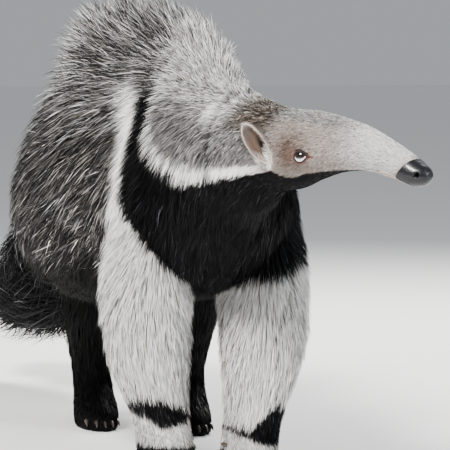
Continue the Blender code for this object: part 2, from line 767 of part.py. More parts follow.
def claw(name, root, along, curl, length, radius, bend, steps, collection):
    """A curved, tapering claw from its root. It starts along one direction and curls towards another."""
    lost, late = CLAW_TAPER
    rings = []
    point = root.copy()
    across = along.cross(curl).normalized()
    for i in range(steps + 1):
        share = i / steps
        direction = (Matrix.Rotation(math.radians(bend) * share, 3, across) @ along).normalized()
        flat = across.cross(direction)
        size = radius * (1.0 - lost * share**late)
        ring = []
        for k in range(CLAW_SIDES):
            turn = 2.0 * math.pi * k / CLAW_SIDES
            ring.append(point + across * math.cos(turn) * size * CLAW_FLATNESS + flat * math.sin(turn) * size)
        rings.append(ring)
        point = point + direction * length / steps
    return loft(name, "claw", rings, collection)


def build_fore_claws(side, foot, collection):
    """The claws of a forefoot, folded in and back beside the wrist as the animal walks on its knuckles."""
    sign = 1.0 if side == "left" else -1.0
    ahead, outwards = FORELEG_REACH[side]
    _, out, back, half_width, half_depth = FORELEG[-3]
    x = sign * (out + outwards - half_width * FORE_CLAW_ROOT[0])
    y = back - ahead - half_depth * FORE_CLAW_ROOT[1]
    along = Vector((-sign * FORE_CLAW_ALONG[0], FORE_CLAW_ALONG[1], 0.0)).normalized()
    curl = Vector((sign * FORE_CLAW_CURL[0], FORE_CLAW_CURL[1], 0.0)).normalized()
    for finger, height, length, radius in FORE_CLAWS:
        name = f"claw_fore_{side}_{finger}"
        node = claw(name, Vector((x, y, height)), along, curl, length, radius, FORE_CLAW_BEND, 4, collection)
        trim(node, foot)


def build_hind_claws(side, foot, collection):
    sign = 1.0 if side == "left" else -1.0
    ahead, outwards = HINDLEG_REACH[side]
    _, out, back, half_width, half_depth = HINDLEG[-3]
    for number, across in enumerate(HIND_CLAWS, 1):
        bow = half_depth * math.sqrt(1.0 - (across / half_width) ** 2)
        root = Vector((sign * (out + outwards) + across, back - ahead - bow + HIND_CLAW_SINK, HIND_CLAW_HEIGHT))
        along = Vector((across * HIND_CLAW_SPREAD, -1.0, -HIND_CLAW_DROP)).normalized()
        name = f"claw_hind_{side}_{number}"
        node = claw(name, root, along, -UP, HIND_CLAW_LENGTH, HIND_CLAW_RADIUS, HIND_CLAW_BEND, 3, collection)
        trim(node, foot)


def centre_over_floor(collection):
    """Moves the whole animal so that the origin is on the floor under the middle of its box."""
    graph = bpy.context.evaluated_depsgraph_get()
    points = [
        obj.matrix_world @ Vector(corner)
        for obj in (o.evaluated_get(graph) for o in collection.objects)
        for corner in obj.bound_box
    ]
    shift = Vector((0.0, 0.0, 0.0))
    for axis in (0, 1):
        values = [point[axis] for point in points]
        shift[axis] = -(min(values) + max(values)) / 2.0
    for obj in collection.objects:
        obj.location += shift


def main():
    clear_scene()
    anteater = new_collection("giant_anteater")
    torso = spine_node("torso", TAIL_CUT + GAP, NECK_CUT, anteater)
    neck = spine_node("neck", NECK_CUT + GAP, HEAD_CUT, anteater)
    tail = spine_node("tail", SPINE[0][1], TAIL_CUT, anteater)
    head = build_head(anteater)
    build_nose(anteater)
    build_eyes(anteater)
    neighbours = []
    for side in ("left", "right"):
        ear_shell(side, head, neck, anteater)
        foreleg = leg(f"foreleg_{side}", "foreleg", FORELEG, side, FORELEG_REACH[side], anteater)
        neighbours.append(surface_tree(foreleg))
        trim(foreleg, torso)
        build_fore_claws(side, foreleg, anteater)
        hindleg = leg(f"hindleg_{side}", "hindleg", HINDLEG, side, HINDLEG_REACH[side], anteater)
        neighbours.append(surface_tree(hindleg))
        trim(hindleg, torso)
        build_hind_claws(side, hindleg, anteater)
    add_locks(torso, [(TAIL_CUT, 1.0), (NECK_CUT, -1.0)], neighbours)
    add_locks(neck, [(NECK_CUT, 1.0), (HEAD_CUT, -1.0)], [])
    add_locks(tail, [(TAIL_CUT, -1.0)], neighbours)
    bpy.context.view_layer.update()
    centre_over_floor(anteater)


main()
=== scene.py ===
import math

import bmesh
import bpy
import numpy as np
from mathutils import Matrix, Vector
from mathutils.kdtree import KDTree

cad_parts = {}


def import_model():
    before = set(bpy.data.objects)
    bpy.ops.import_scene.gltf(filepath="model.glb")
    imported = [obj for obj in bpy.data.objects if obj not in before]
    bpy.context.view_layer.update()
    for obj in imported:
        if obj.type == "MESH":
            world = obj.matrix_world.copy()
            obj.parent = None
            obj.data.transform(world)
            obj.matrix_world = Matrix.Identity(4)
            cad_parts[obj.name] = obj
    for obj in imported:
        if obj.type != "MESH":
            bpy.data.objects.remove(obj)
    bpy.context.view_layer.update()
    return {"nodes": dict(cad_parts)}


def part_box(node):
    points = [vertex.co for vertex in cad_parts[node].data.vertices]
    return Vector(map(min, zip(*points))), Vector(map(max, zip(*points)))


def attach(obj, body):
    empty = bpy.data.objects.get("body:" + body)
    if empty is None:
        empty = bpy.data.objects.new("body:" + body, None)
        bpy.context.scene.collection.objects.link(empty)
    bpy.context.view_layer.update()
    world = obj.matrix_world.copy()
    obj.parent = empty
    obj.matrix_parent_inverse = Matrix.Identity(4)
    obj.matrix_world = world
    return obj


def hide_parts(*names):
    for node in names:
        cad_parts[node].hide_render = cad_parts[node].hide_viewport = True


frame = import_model()

draw = np.random.default_rng(20)  # every chance value of the coat comes from here, in one order
tau = 2.0 * math.pi

# the spine, tail to nose: ahead of the shoulders, height, half width, reach up, reach down, egg shape
spine = np.array([
    (-1.345, 0.176, 0.004, 0.004, 0.004, 0.0), (-1.220, 0.245, 0.011, 0.012, 0.012, 0.0),
    (-1.000, 0.345, 0.022, 0.025, 0.026, 0.0), (-0.820, 0.408, 0.036, 0.042, 0.044, 0.0),
    (-0.710, 0.432, 0.060, 0.066, 0.070, 0.0), (-0.620, 0.440, 0.094, 0.108, 0.108, 0.15),
    (-0.520, 0.445, 0.112, 0.134, 0.138, 0.34), (-0.400, 0.448, 0.118, 0.142, 0.152, 0.42),
    (-0.240, 0.445, 0.121, 0.148, 0.160, 0.48), (-0.100, 0.442, 0.119, 0.152, 0.156, 0.46),
    (0.000, 0.445, 0.116, 0.150, 0.150, 0.38), (0.080, 0.455, 0.098, 0.128, 0.138, 0.24),
    (0.150, 0.472, 0.080, 0.100, 0.112, 0.12), (0.215, 0.490, 0.066, 0.078, 0.086, 0.05),
    (0.285, 0.498, 0.058, 0.062, 0.066, 0.05), (0.350, 0.497, 0.049, 0.056, 0.056, 0.0),
    (0.385, 0.499, 0.044, 0.053, 0.045, 0.0), (0.430, 0.502, 0.037, 0.042, 0.0355, 0.0),
    (0.480, 0.498, 0.030, 0.033, 0.028, 0.0), (0.525, 0.484, 0.0255, 0.0275, 0.0225, 0.0),
    (0.562, 0.471, 0.0220, 0.022, 0.0195, 0.0), (0.578, 0.467, 0.0175, 0.0155, 0.0145, 0.0),
    (0.586, 0.4665, 0.0125, 0.0105, 0.0100, 0.0), (0.590, 0.466, 0.0060, 0.005, 0.005, 0.0),
])
# depth of the coat: ahead, at the side, on the crest, underneath, how sharp the crest is
coatDepth = np.array([
    (-1.345, 0.004, 0.005, 0.006, 2.0), (-1.310, 0.034, 0.040, 0.050, 2.0),
    (-1.220, 0.068, 0.075, 0.110, 2.0), (-1.000, 0.086, 0.100, 0.190, 2.0),
    (-0.820, 0.078, 0.100, 0.160, 2.0), (-0.710, 0.064, 0.104, 0.105, 3.0),
    (-0.520, 0.054, 0.118, 0.070, 4.5), (-0.240, 0.040, 0.128, 0.062, 6.0),
    (-0.100, 0.034, 0.126, 0.045, 6.0), (0.000, 0.030, 0.090, 0.036, 5.0),
    (0.080, 0.026, 0.064, 0.034, 4.0), (0.150, 0.018, 0.042, 0.032, 3.0),
    (0.215, 0.010, 0.021, 0.030, 2.0), (0.285, 0.004, 0.006, 0.024, 2.0),
    (0.350, 0.002, 0.002, 0.010, 2.0), (0.430, 0.001, 0.001, 0.002, 2.0),
    (0.590, 0.000, 0.000, 0.000, 2.0),
])
# legs, top to sole: height, out, back, half width, half depth with the hair, and the hair's own depth
legTop = 0.430
swayFrom = 0.10  # metres under the top of a leg, where its lean to front or side begins
foreleg = np.array([
    (0.430, 0.070, 0.010, 0.056, 0.076, 0.014), (0.370, 0.080, 0.008, 0.069, 0.090, 0.016),
    (0.300, 0.088, 0.006, 0.074, 0.090, 0.017), (0.230, 0.090, 0.006, 0.071, 0.080, 0.017),
    (0.165, 0.086, 0.004, 0.064, 0.070, 0.016), (0.115, 0.076, 0.000, 0.051, 0.058, 0.012),
    (0.080, 0.068, -0.004, 0.044, 0.052, 0.008), (0.050, 0.063, -0.008, 0.043, 0.056, 0.005),
    (0.022, 0.061, -0.012, 0.043, 0.056, 0.003), (0.004, 0.060, -0.012, 0.038, 0.050, 0.001),
    (0.000, 0.060, -0.012, 0.034, 0.046, 0.000),
])[::-1]
hindleg = np.array([
    (0.430, 0.066, 0.520, 0.052, 0.090, 0.014), (0.350, 0.080, 0.512, 0.062, 0.112, 0.016),
    (0.270, 0.084, 0.512, 0.058, 0.104, 0.015), (0.200, 0.081, 0.532, 0.048, 0.080, 0.012),
    (0.140, 0.077, 0.560, 0.038, 0.056, 0.009), (0.095, 0.073, 0.574, 0.032, 0.046, 0.006),
    (0.060, 0.071, 0.560, 0.032, 0.062, 0.004), (0.030, 0.070, 0.541, 0.035, 0.084, 0.003),
    (0.008, 0.070, 0.536, 0.034, 0.086, 0.001), (0.000, 0.070, 0.536, 0.031, 0.082, 0.000),
])[::-1]
legs = {
    "foreleg_left": {"table": foreleg, "sign": 1.0, "ahead": 0.075, "out": -0.012},
    "foreleg_right": {"table": foreleg, "sign": -1.0, "ahead": -0.010, "out": 0.0},
    "hindleg_left": {"table": hindleg, "sign": 1.0, "ahead": 0.060, "out": 0.0},
    "hindleg_right": {"table": hindleg, "sign": -1.0, "ahead": -0.030, "out": 0.0},
}


def step(value, start, end):
    t = np.clip((value - start) / (end - start), 0.0, 1.0)
    return t * t * (3.0 - 2.0 * t)


def fadeIn(value, edges):
    return step(value, *edges)


def fadeOut(value, edges):
    return 1.0 - step(value, *edges)


def through(table, key, column):
    # smooth curve through one column of a table
    x, y = table[:, 0], table[:, column]
    row = np.clip(np.searchsorted(x, key, side="right") - 1, 0, len(x) - 2)
    before, after = np.maximum(row - 1, 0), np.minimum(row + 2, len(x) - 1)
    span = x[row + 1] - x[row]
    t = np.clip((key - x[row]) / span, 0.0, 1.0)
    slopeLow = (y[row + 1] - y[before]) / (x[row + 1] - x[before]) * span
    slopeHigh = (y[after] - y[row]) / (x[after] - x[row]) * span
    s = t * t * (3.0 - 2.0 * t)
    return y[row] * (1.0 - s) + y[row + 1] * s + (t - t * t) * ((1.0 - t) * slopeLow - t * slopeHigh)


# how the spine bends in plan: degrees, and between which stations
bends = {"headTurn": 34.0, "headFrom": 0.12, "headTo": 0.34, "tailSwing": 14.0, "tailFrom": 0.72,
         "tailTo": 1.25, "bodyBow": 24.0, "bowLength": 0.62}
spineWalk = {"back": 1.56, "front": 0.70, "step": 0.005}


def heading(ahead):
    turn = bends["headTurn"] * step(ahead, bends["headFrom"], bends["headTo"])  # the head looks to its left
    swing = bends["tailSwing"] * step(-ahead, bends["tailFrom"], bends["tailTo"])
    bow = bends["bodyBow"] * np.sin(tau * np.clip(-ahead / bends["bowLength"], 0.0, 1.0))
    return np.radians(turn + swing + bow)


def walkSpine():
    # plan of the spine at even steps
    pace = spineWalk["step"]
    ends = []
    for way, end in ((-1.0, spineWalk["back"]), (1.0, spineWalk["front"])):
        steps = np.arange(0.0, end, pace)
        angle = heading(way * (steps[:-1] + pace / 2.0))
        x = np.concatenate(([0.0], np.cumsum(way * pace * np.sin(angle))))
        y = np.concatenate(([0.0], np.cumsum(-way * pace * np.cos(angle))))
        ends.append((way * steps, x, y))
    back, front = ends
    return [np.concatenate((b[:0:-1], f)) for b, f in zip(back, front)]


planAhead, planX, planY = walkSpine()


def spineFrame(ahead):
    # the spine's middle at a station, with the directions to the animal's left and ahead
    ahead = np.asarray(ahead, float)
    angle = heading(ahead)
    centre = np.stack((np.interp(ahead, planAhead, planX), np.interp(ahead, planAhead, planY),
                       through(spine, ahead, 1)), -1)
    zero = np.zeros_like(angle)
    left = np.stack((np.cos(angle), np.sin(angle), zero), -1)
    forward = np.stack((np.sin(angle), -np.cos(angle), zero), -1)
    return centre, left, forward


eyeSeat = {"ahead": 0.386, "headSide": 0.0440, "sunk": 0.0085, "down": 0.011, "out": (0.93, 0.34, 0.08)}


def eyePlace(side):
    centre, left, forward = spineFrame(eyeSeat["ahead"])
    aside, front, up = eyeSeat["out"]
    fromMiddle = eyeSeat["headSide"] - eyeSeat["sunk"]
    middle = centre + left * side * fromMiddle + np.array((0.0, 0.0, -eyeSeat["down"]))
    out = left * side * aside + forward * front + np.array((0.0, 0.0, up))
    return middle, out / np.linalg.norm(out)


# the CAD's box round one eye tells how far the whole animal was moved over the origin
eyeLow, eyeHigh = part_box("eye_left")
shift = np.array((Vector(eyeLow) + Vector(eyeHigh)) / 2.0) - eyePlace(1.0)[0]
shift[2] = 0.0
print("moved over the origin by", shift.round(4))


def depthOfCoat(ahead, around):
    side, crest, under, sharp = (through(coatDepth, ahead, column) for column in (1, 2, 3, 4))
    cosine = np.cos(around)
    up = np.maximum(0.0, cosine) ** sharp
    down = np.maximum(0.0, -cosine) ** 2.0
    return side + (crest - side) * up + (under - side) * down


# where the coat is long, with stations counted backwards: over the body, and on the crest of the mane
longCoat = {"body": (-0.10, 0.03), "mane": (-0.275, -0.225), "crest": (0.10, 0.60)}


def longHair(ahead, around):
    body = fadeIn(-ahead, longCoat["body"])
    mane = fadeIn(-ahead, longCoat["mane"]) * fadeIn(np.cos(around), longCoat["crest"])
    return np.maximum(body, mane)


def bodyPoint(ahead, around, lift):
    # a place on the body: station, angle from the crest, metres over the bare form
    centre, left, _ = spineFrame(ahead)
    width, up, down, egg = (through(spine, ahead, column) for column in (2, 3, 4, 5))
    cosine, sine = np.cos(around), np.sin(around)
    across = (width * (1.0 - egg * cosine) + lift) * sine
    above = (np.where(cosine > 0.0, up, down) + lift) * cosine
    point = centre + left * across[..., None]
    point[..., 2] += above
    return point + shift


# on the sides of the mane the hair lies closer, more so on the left: degrees from the crest, and stations
lieClose = {"from": (6, 26), "until": (62, 100), "rear": (-0.20, -0.07), "front": (0.20, 0.28),
            "left": 0.70, "right": 0.25}
skinUnderLocks = {"share": 0.34, "closer": 0.5}


def flattened(ahead, around):
    degrees = np.degrees(around)
    size = np.abs(degrees)
    amount = np.where(degrees > 0, lieClose["left"], lieClose["right"])
    sides = fadeIn(size, lieClose["from"]) * fadeOut(size, lieClose["until"]) * amount
    return sides * fadeIn(ahead, lieClose["rear"]) * fadeOut(ahead, lieClose["front"])


def skinLift(ahead, around):
    # under long hair the skin follows the core that the locks stand on
    share = skinUnderLocks["share"] * (1.0 - skinUnderLocks["closer"] * flattened(ahead, around))
    return depthOfCoat(ahead, around) * share * longHair(ahead, around)


def legPoint(leg, height, around, lift):
    # a place on a leg, whose foot stands ahead of or behind the leg's top
    columns = [through(leg["table"], height, column) for column in (1, 2, 3, 4, 5)]
    out, back, halfWidth, halfDepth, hair = columns
    lowered = step(legTop - height, swayFrom, legTop)
    x = leg["sign"] * (out + leg["out"] * lowered) + (halfWidth - hair + lift) * np.cos(around)
    y = back - leg["ahead"] * lowered + (halfDepth - hair + lift) * np.sin(around)
    return np.stack((x, y, height + np.zeros_like(x)), -1) + shift


def unit(vectors):
    return vectors / np.maximum(np.linalg.norm(vectors, axis=-1, keepdims=True), 1e-9)


noiseKeys = {"x": 73856093, "y": 19349663, "z": 83492791, "seed": 97531, "mix": 1274126177}


def noise(points, cell, seed):
    # smooth noise from -1 to 1
    scaled = points / cell + seed * 17.3
    base = np.floor(scaled).astype(np.int64)
    t = scaled - base
    t = t * t * (3.0 - 2.0 * t)
    total = np.zeros(len(points))
    for corner in range(8):
        offset = np.array((corner & 1, corner >> 1 & 1, corner >> 2))
        x, y, z = (base + offset).T
        mixed = x * noiseKeys["x"] ^ y * noiseKeys["y"] ^ z * noiseKeys["z"] ^ seed * noiseKeys["seed"]
        mixed = (mixed ^ mixed >> 13) * noiseKeys["mix"] & 0x7FFFFFFF
        mixed = (mixed ^ mixed >> 15) & 0xFFFF
        total += np.prod(np.where(offset == 1, t, 1.0 - t), axis=1) * mixed
    return total / 32767.5 - 1.0


# coat tones: colour at the root, colour at the tip, how much single hairs differ
tones = {
    "grizzled": (0.005, 0.004, 0.004, 0.53, 0.515, 0.50, 1.05),
    "mane": (0.060, 0.056, 0.053, 0.93, 0.91, 0.89, 0.46),
    # flank: the lower sides' own darker coat, darkened further as painted shade
    "flank": (0.003, 0.003, 0.003, 0.215, 0.206, 0.196, 1.30),
    "dark": (0.003, 0.003, 0.003, 0.018, 0.016, 0.016, 0.80),
    "black": (0.002, 0.002, 0.002, 0.012, 0.012, 0.014, 1.00),
    "white": (0.84, 0.83, 0.81, 0.97, 0.96, 0.94, 0.04),
    "patch": (0.050, 0.048, 0.047, 0.42, 0.41, 0.41, 0.55),
    "nape": (0.010, 0.008, 0.006, 0.265, 0.222, 0.190, 1.00),
    "head": (0.24, 0.210, 0.192, 0.49, 0.440, 0.415, 0.26),
    "temple": (0.090, 0.062, 0.048, 0.235, 0.178, 0.148, 0.40),
    "crown": (0.15, 0.145, 0.14, 0.50, 0.485, 0.475, 0.42),
    "muzzle": (0.42, 0.405, 0.395, 0.70, 0.69, 0.685, 0.16),
    "cream": (0.44, 0.43, 0.42, 0.84, 0.83, 0.815, 0.16),
    "tail": (0.003, 0.003, 0.003, 0.042, 0.041, 0.043, 1.20),
}
tones = {name: np.array(values) for name, values in tones.items()}

# edges of the markings on one side: ahead, degrees from the crest
patchEdge = np.array([(-0.050, 26), (-0.010, 40), (0.010, 50), (0.022, 60), (0.036, 68), (0.058, 75),
                      (0.085, 83), (0.112, 91), (0.142, 100), (0.170, 109), (0.200, 118), (0.235, 123),
                      (0.280, 125), (0.315, 125), (0.345, 118)])
shoulderLine = np.array([(-0.170, 24), (-0.140, 38), (-0.108, 50), (-0.078, 62), (-0.045, 71), (-0.020, 80),
                         (-0.004, 90), (0.004, 102), (0.012, 114), (0.020, 126), (0.030, 140), (0.030, 181)])
throatEdge = np.array([(0.235, 123), (0.280, 125), (0.315, 125), (0.335, 120), (0.350, 130), (0.368, 142),
                       (0.385, 140), (0.410, 152), (0.450, 164), (0.500, 176)])
girth = 0.125  # metres from the spine to the skin, for measuring over the skin
# the body's markings: stations (ahead, or counted back), degrees from the crest, metres off a line, shares
marks = {
    "waver": {"broad": (0.022, 0.003), "fine": (0.006, 0.002), "belly": 900, "throat": 0.6},
    "mane": {"ahead": (-0.16, 0.02), "degrees": (40, 72)},
    "flank": {"degrees": (46, 84), "ahead": (0.0, 0.1)},
    "belly": {"degrees": (120, 150)},
    "haunch": {"back": (0.42, 0.66), "degrees": (60, 110), "share": 0.8},
    "tail": {"back": (0.56, 0.78)},
    "leftLine": {"further": 0.05, "degrees": (20, 50)},
    "chest": {"off": (0.003, 0.007), "degrees": (34, 52)},
    "line": {"off": 0.006, "width": 0.012, "upper": (0.006, 40, 62), "lower": (0.010, 100, 126),
             "from": (36, 56), "until": (138, 150), "behind": (0.45, 2.0), "inFront": (0.7, 1.0)},
    "patch": {"off": (-0.002, 0.002), "ahead": (-0.10, -0.02), "mane": (34, 70)},
    "rim": {"width": 0.0040, "lower": (0.0075, 84, 116), "inside": 0.8, "fade": 0.004, "from": (36, 60),
            "front": 0.335},
    "nape": {"ahead": (0.235, 0.285), "degrees": (52, 80)},
    "whorl": {"ahead": 0.222, "reach": 0.020, "degrees": 50, "spread": 17.0, "share": 0.85},
    "crown": {"degrees": (30, 60)},
    "temple": {"ahead": 0.366, "reach": 0.026, "degrees": 96, "spread": 34.0, "share": 1.05},
    "muzzle": {"ahead": (0.42, 0.50)},
    "head": {"crown": (0.305, 0.350), "side": (0.268, 0.335), "crownUntil": 76},
    "throat": {"off": (-0.001, 0.004), "from": (0.21, 0.25), "until": (0.46, 0.52)},
}


def distanceTo(line, ahead, degrees):
    # metres over the skin from a line
    flat = np.stack((ahead, np.radians(degrees) * girth), -1)
    path = np.stack((line[:, 0], np.radians(line[:, 1]) * girth), -1)
    best = np.full(len(flat), 9.0)
    for a, b in zip(path[:-1], path[1:]):
        run = b - a
        t = np.clip(((flat - a) @ run) / (run @ run), 0.0, 1.0)
        away = flat - a - t[:, None] * run
        best = np.minimum(best, np.hypot(away[:, 0], away[:, 1]))
    return best


def below(line, ahead, degrees):
    # distance from a line that runs along the body, positive under it
    under = degrees > np.interp(ahead, line[:, 0], line[:, 1], left=-1.0)
    distance = distanceTo(line, ahead, degrees)
    return np.where(under, distance, -distance)


def before(line, ahead, degrees):
    # distance from a line that runs down the body, positive in front of it
    inFront = ahead > np.interp(degrees, line[:, 1], line[:, 0])
    distance = distanceTo(line, ahead, degrees)
    return np.where(inFront, distance, -distance)


def laid(tone, name, mask):
    # one tone over another, as far as the mask says
    return tone + (tones[name] - tone) * mask[:, None]


def bell(ahead, degrees, form):
    # 1 in the middle of a soft round place on the body, 0 away from it
    return np.exp(-((ahead - form["ahead"]) / form["reach"]) ** 2
                  - ((degrees - form["degrees"]) / form["spread"]) ** 2)


def waver(place, broad, fine, seed):
    # how far the edge of a marking strays: size of the waves, and their height
    return noise(place, broad[0], seed) * broad[1] + noise(place, fine[0], seed + 1) * fine[1]


def whiteLine(line, degrees):
    # the white shoulder line fades out behind and is sharp in front
    mark = marks["line"]
    width = mark["width"]
    for more, start, end in (mark["upper"], mark["lower"]):
        width = width + more * step(degrees, start, end)
    behind = line < -mark["off"]
    shares = zip(mark["behind"], mark["inFront"])
    full, none = (width * np.where(behind, rear, front) for rear, front in shares)
    share = fadeIn(degrees, mark["from"]) * fadeOut(degrees, mark["until"])
    return (1.0 - step(np.abs(line + mark["off"]), full, none)) * share


def patchRim(patch, degrees, ahead):
    mark = marks["rim"]
    more, start, end = mark["lower"]
    width = mark["width"] + more * step(degrees, start, end)
    rim = 1.0 - step(np.abs(patch + width * mark["inside"]), width, width + mark["fade"])
    return rim * fadeIn(degrees, mark["from"]) * (ahead < mark["front"])


def headOnly(ahead, degrees):
    # the head's tones, pale in front of the ears and browner between ear and eye
    tone = laid(np.tile(tones["head"], (len(ahead), 1)), "crown", fadeOut(degrees, marks["crown"]["degrees"]))
    temple = bell(ahead, degrees, marks["temple"])
    tone = laid(tone, "temple", np.minimum(1.0, temple * marks["temple"]["share"]))
    return laid(tone, "muzzle", fadeIn(ahead, marks["muzzle"]["ahead"]))


def bodyTone(ahead, around, place):
    turned = (np.degrees(around) + 180.0) % 360.0 - 180.0
    degrees = np.abs(turned)
    wander = waver(place, marks["waver"]["broad"], marks["waver"]["fine"], 3)
    mane, flank, haunch, patchMark = marks["mane"], marks["flank"], marks["haunch"], marks["patch"]
    tone = np.tile(tones["grizzled"], (len(ahead), 1))
    tone = laid(tone, "mane", fadeIn(ahead, mane["ahead"]) * fadeOut(degrees, mane["degrees"]))
    # the lower sides darker: their own darker coat, with painted shade
    tone = laid(tone, "flank", fadeIn(degrees, flank["degrees"]) * fadeOut(ahead, flank["ahead"]))
    tone = laid(tone, "dark", fadeIn(degrees + wander * marks["waver"]["belly"], marks["belly"]["degrees"]))
    onHaunch = fadeIn(-ahead, haunch["back"]) * fadeIn(degrees, haunch["degrees"])
    tone = laid(tone, "dark", onHaunch * haunch["share"])
    tone = laid(tone, "tail", fadeIn(-ahead, marks["tail"]["back"]))
    # the black of throat and chest runs up between the neck patch and the shoulder line
    further = marks["leftLine"]["further"] * fadeIn(turned, marks["leftLine"]["degrees"])
    line = before(shoulderLine, ahead + further, degrees) + wander
    patch = below(patchEdge, ahead, degrees) + wander
    onChest = fadeIn(line, marks["chest"]["off"]) * fadeIn(degrees, marks["chest"]["degrees"])
    tone = laid(tone, "black", onChest)
    tone = laid(tone, "white", whiteLine(line, degrees))
    inPatch = fadeOut(patch, patchMark["off"]) * fadeIn(ahead, patchMark["ahead"])
    overPatch = fadeOut(degrees, patchMark["mane"])
    tone = laid(tone, "patch", inPatch * (1.0 - overPatch))
    tone = laid(tone, "mane", inPatch * overPatch)
    tone = laid(tone, "white", patchRim(patch, degrees, ahead))
    # the nape is darker, with a cream whorl where the mane parts
    onNape = fadeIn(ahead, marks["nape"]["ahead"]) * fadeOut(degrees, marks["nape"]["degrees"])
    tone = laid(tone, "nape", onNape)
    tone = laid(tone, "white", bell(ahead, degrees, marks["whorl"]) * marks["whorl"]["share"])
    crownEdge = fadeIn(ahead, marks["head"]["crown"])
    onHead = fadeIn(ahead, marks["head"]["side"])
    onCrown = degrees < marks["head"]["crownUntil"]
    onHead = onHead * np.where(onCrown, crownEdge, np.maximum(crownEdge, onHead))
    tone = tone + (headOnly(ahead, degrees) - tone) * onHead[:, None]
    throat = below(throatEdge, ahead, degrees) + wander * marks["waver"]["throat"]
    onThroat = fadeIn(ahead, marks["throat"]["from"]) * fadeOut(ahead, marks["throat"]["until"])
    return laid(tone, "black", fadeIn(throat, marks["throat"]["off"]) * onThroat)


# lower edge of the chest's black on each foreleg, and both edges of its black wrist: outwards, height
chestEdges = {
    "foreleg_right": np.array([(-1.0, 0.274), (-0.66, 0.281), (0.0, 0.307), (0.32, 0.326), (0.54, 0.348),
                               (0.73, 0.378), (1.0, 0.430)]),
    "foreleg_left": np.array([(-1.0, 0.270), (0.0, 0.276), (0.6, 0.288), (1.0, 0.306)]),
}
wristEdges = {
    "foreleg_right": (np.array([(-1.0, 0.081), (-0.5, 0.0935), (0.0, 0.100), (0.6, 0.1035), (1.0, 0.096)]),
                      np.array([(-1.0, 0.0785), (-0.5, 0.070), (0.0, 0.066), (0.3, 0.069), (0.6, 0.076),
                                (1.0, 0.089)])),
    "foreleg_left": (np.array([(-1.0, 0.071), (-0.26, 0.066), (0.10, 0.084), (0.45, 0.101), (1.0, 0.084)]),
                     np.array([(-1.0, 0.067), (-0.26, 0.059), (0.15, 0.048), (1.0, 0.042)])),
}
# the other markings of the legs: heights, and how far round to the front or the outside
legMarks = {
    "waver": {"broad": (0.02, 0.004), "fine": (0.006, 0.003)},
    "thigh": {"height": (0.30, 0.42), "outward": (-0.1, 0.5), "share": 0.5},
    "elbow": {"outward": 0.35, "rear": (0.30, 0.85), "height": (0.13, 0.26)},
    "chest": {"fade": 0.010, "forward": (-0.75, -0.35)},
    "wrist": {"under": (-0.002, 0.001), "over": 0.003, "forward": (-0.6, -0.2)},
    "toes": (0.034, 0.042),
}


def legTone(name, height, around, place):
    outward = np.cos(around) * legs[name]["sign"]
    forward = -np.sin(around)
    high = height + waver(place, legMarks["waver"]["broad"], legMarks["waver"]["fine"], 5)
    if name.startswith("hind"):
        thigh = legMarks["thigh"]
        tone = np.tile(tones["dark"], (len(height), 1))
        onThigh = fadeIn(high, thigh["height"]) * fadeIn(outward, thigh["outward"])
        return laid(tone, "flank", onThigh * thigh["share"])
    elbow, chestMark, wrist = legMarks["elbow"], legMarks["chest"], legMarks["wrist"]
    tone = np.tile(tones["cream"], (len(height), 1))
    rear = fadeIn(-forward + outward * elbow["outward"], elbow["rear"])
    tone = laid(tone, "flank", rear * fadeIn(high, elbow["height"]))
    edge = chestEdges[name]
    chest = np.interp(outward, edge[:, 0], edge[:, 1])
    onChest = step(high, chest, chest + chestMark["fade"]) * fadeIn(forward, chestMark["forward"])
    tone = laid(tone, "black", onChest)
    top, bottom = (np.interp(outward, side[:, 0], side[:, 1]) for side in wristEdges[name])
    band = step(high, bottom + wrist["under"][0], bottom + wrist["under"][1])
    band = band * (1.0 - step(high, top, top + wrist["over"]))
    tone = laid(tone, "black", band * fadeIn(forward, wrist["forward"]))
    return laid(tone, "black", fadeOut(high, legMarks["toes"]))


# the unwrap that skin and coat share: body in the lower half, legs and ears above it
unwrap = {
    "margin": 0.02, "bodyLong": 0.96, "bodyHigh": 0.46,
    "legFrom": 0.03, "legEvery": 0.24, "legWide": 0.20, "legUp": 0.52, "legHigh": 0.26,
    "earAt": 0.30, "earEvery": 0.3, "earUp": 0.88, "earWide": 3.0, "earHigh": 1.4,
}
bodyEnds = {"back": 1.345, "length": 1.935}


def bodyUnwrap(ahead, around):
    turned = (around + math.pi) / tau
    along = unwrap["margin"] + unwrap["bodyLong"] * (ahead + bodyEnds["back"]) / bodyEnds["length"]
    return np.stack((along, unwrap["margin"] + unwrap["bodyHigh"] * turned), -1)


def legUnwrap(name, height, around):
    column = list(legs).index(name) * unwrap["legEvery"] + unwrap["legFrom"]
    across = column + unwrap["legWide"] * (around % tau) / tau
    return np.stack((across, unwrap["legUp"] + unwrap["legHigh"] * height / legTop), -1)


def earUnwrap(side, x, y):
    column = unwrap["earAt"] + unwrap["earEvery"] * (side > 0)
    return np.stack((column + x * unwrap["earWide"], unwrap["earUp"] + y * unwrap["earHigh"]), -1)


def addMesh(name, points, corners, sizes, colours=None, uvs=None):
    mesh = bpy.data.meshes.new(name)
    mesh.vertices.add(len(points))
    mesh.vertices.foreach_set("co", np.ascontiguousarray(points, np.float32).ravel())
    mesh.loops.add(len(corners))
    mesh.loops.foreach_set("vertex_index", np.ascontiguousarray(corners, np.int32))
    starts = np.concatenate(([0], np.cumsum(sizes)[:-1]))
    mesh.polygons.add(len(sizes))
    mesh.polygons.foreach_set("loop_start", np.ascontiguousarray(starts, np.int32))
    mesh.update(calc_edges=True)
    mesh.validate()
    if colours is not None:
        layer = mesh.color_attributes.new("shade", "FLOAT_COLOR", "POINT")
        layer.data.foreach_set("color", np.ascontiguousarray(colours, np.float32).ravel())
    if uvs is not None:
        layer = mesh.uv_layers.new(name="OFBake")
        layer.data.foreach_set("uv", np.ascontiguousarray(uvs, np.float32).ravel())
    mesh.shade_smooth()
    obj = bpy.data.objects.new(name, mesh)
    bpy.context.scene.collection.objects.link(obj)
    return obj


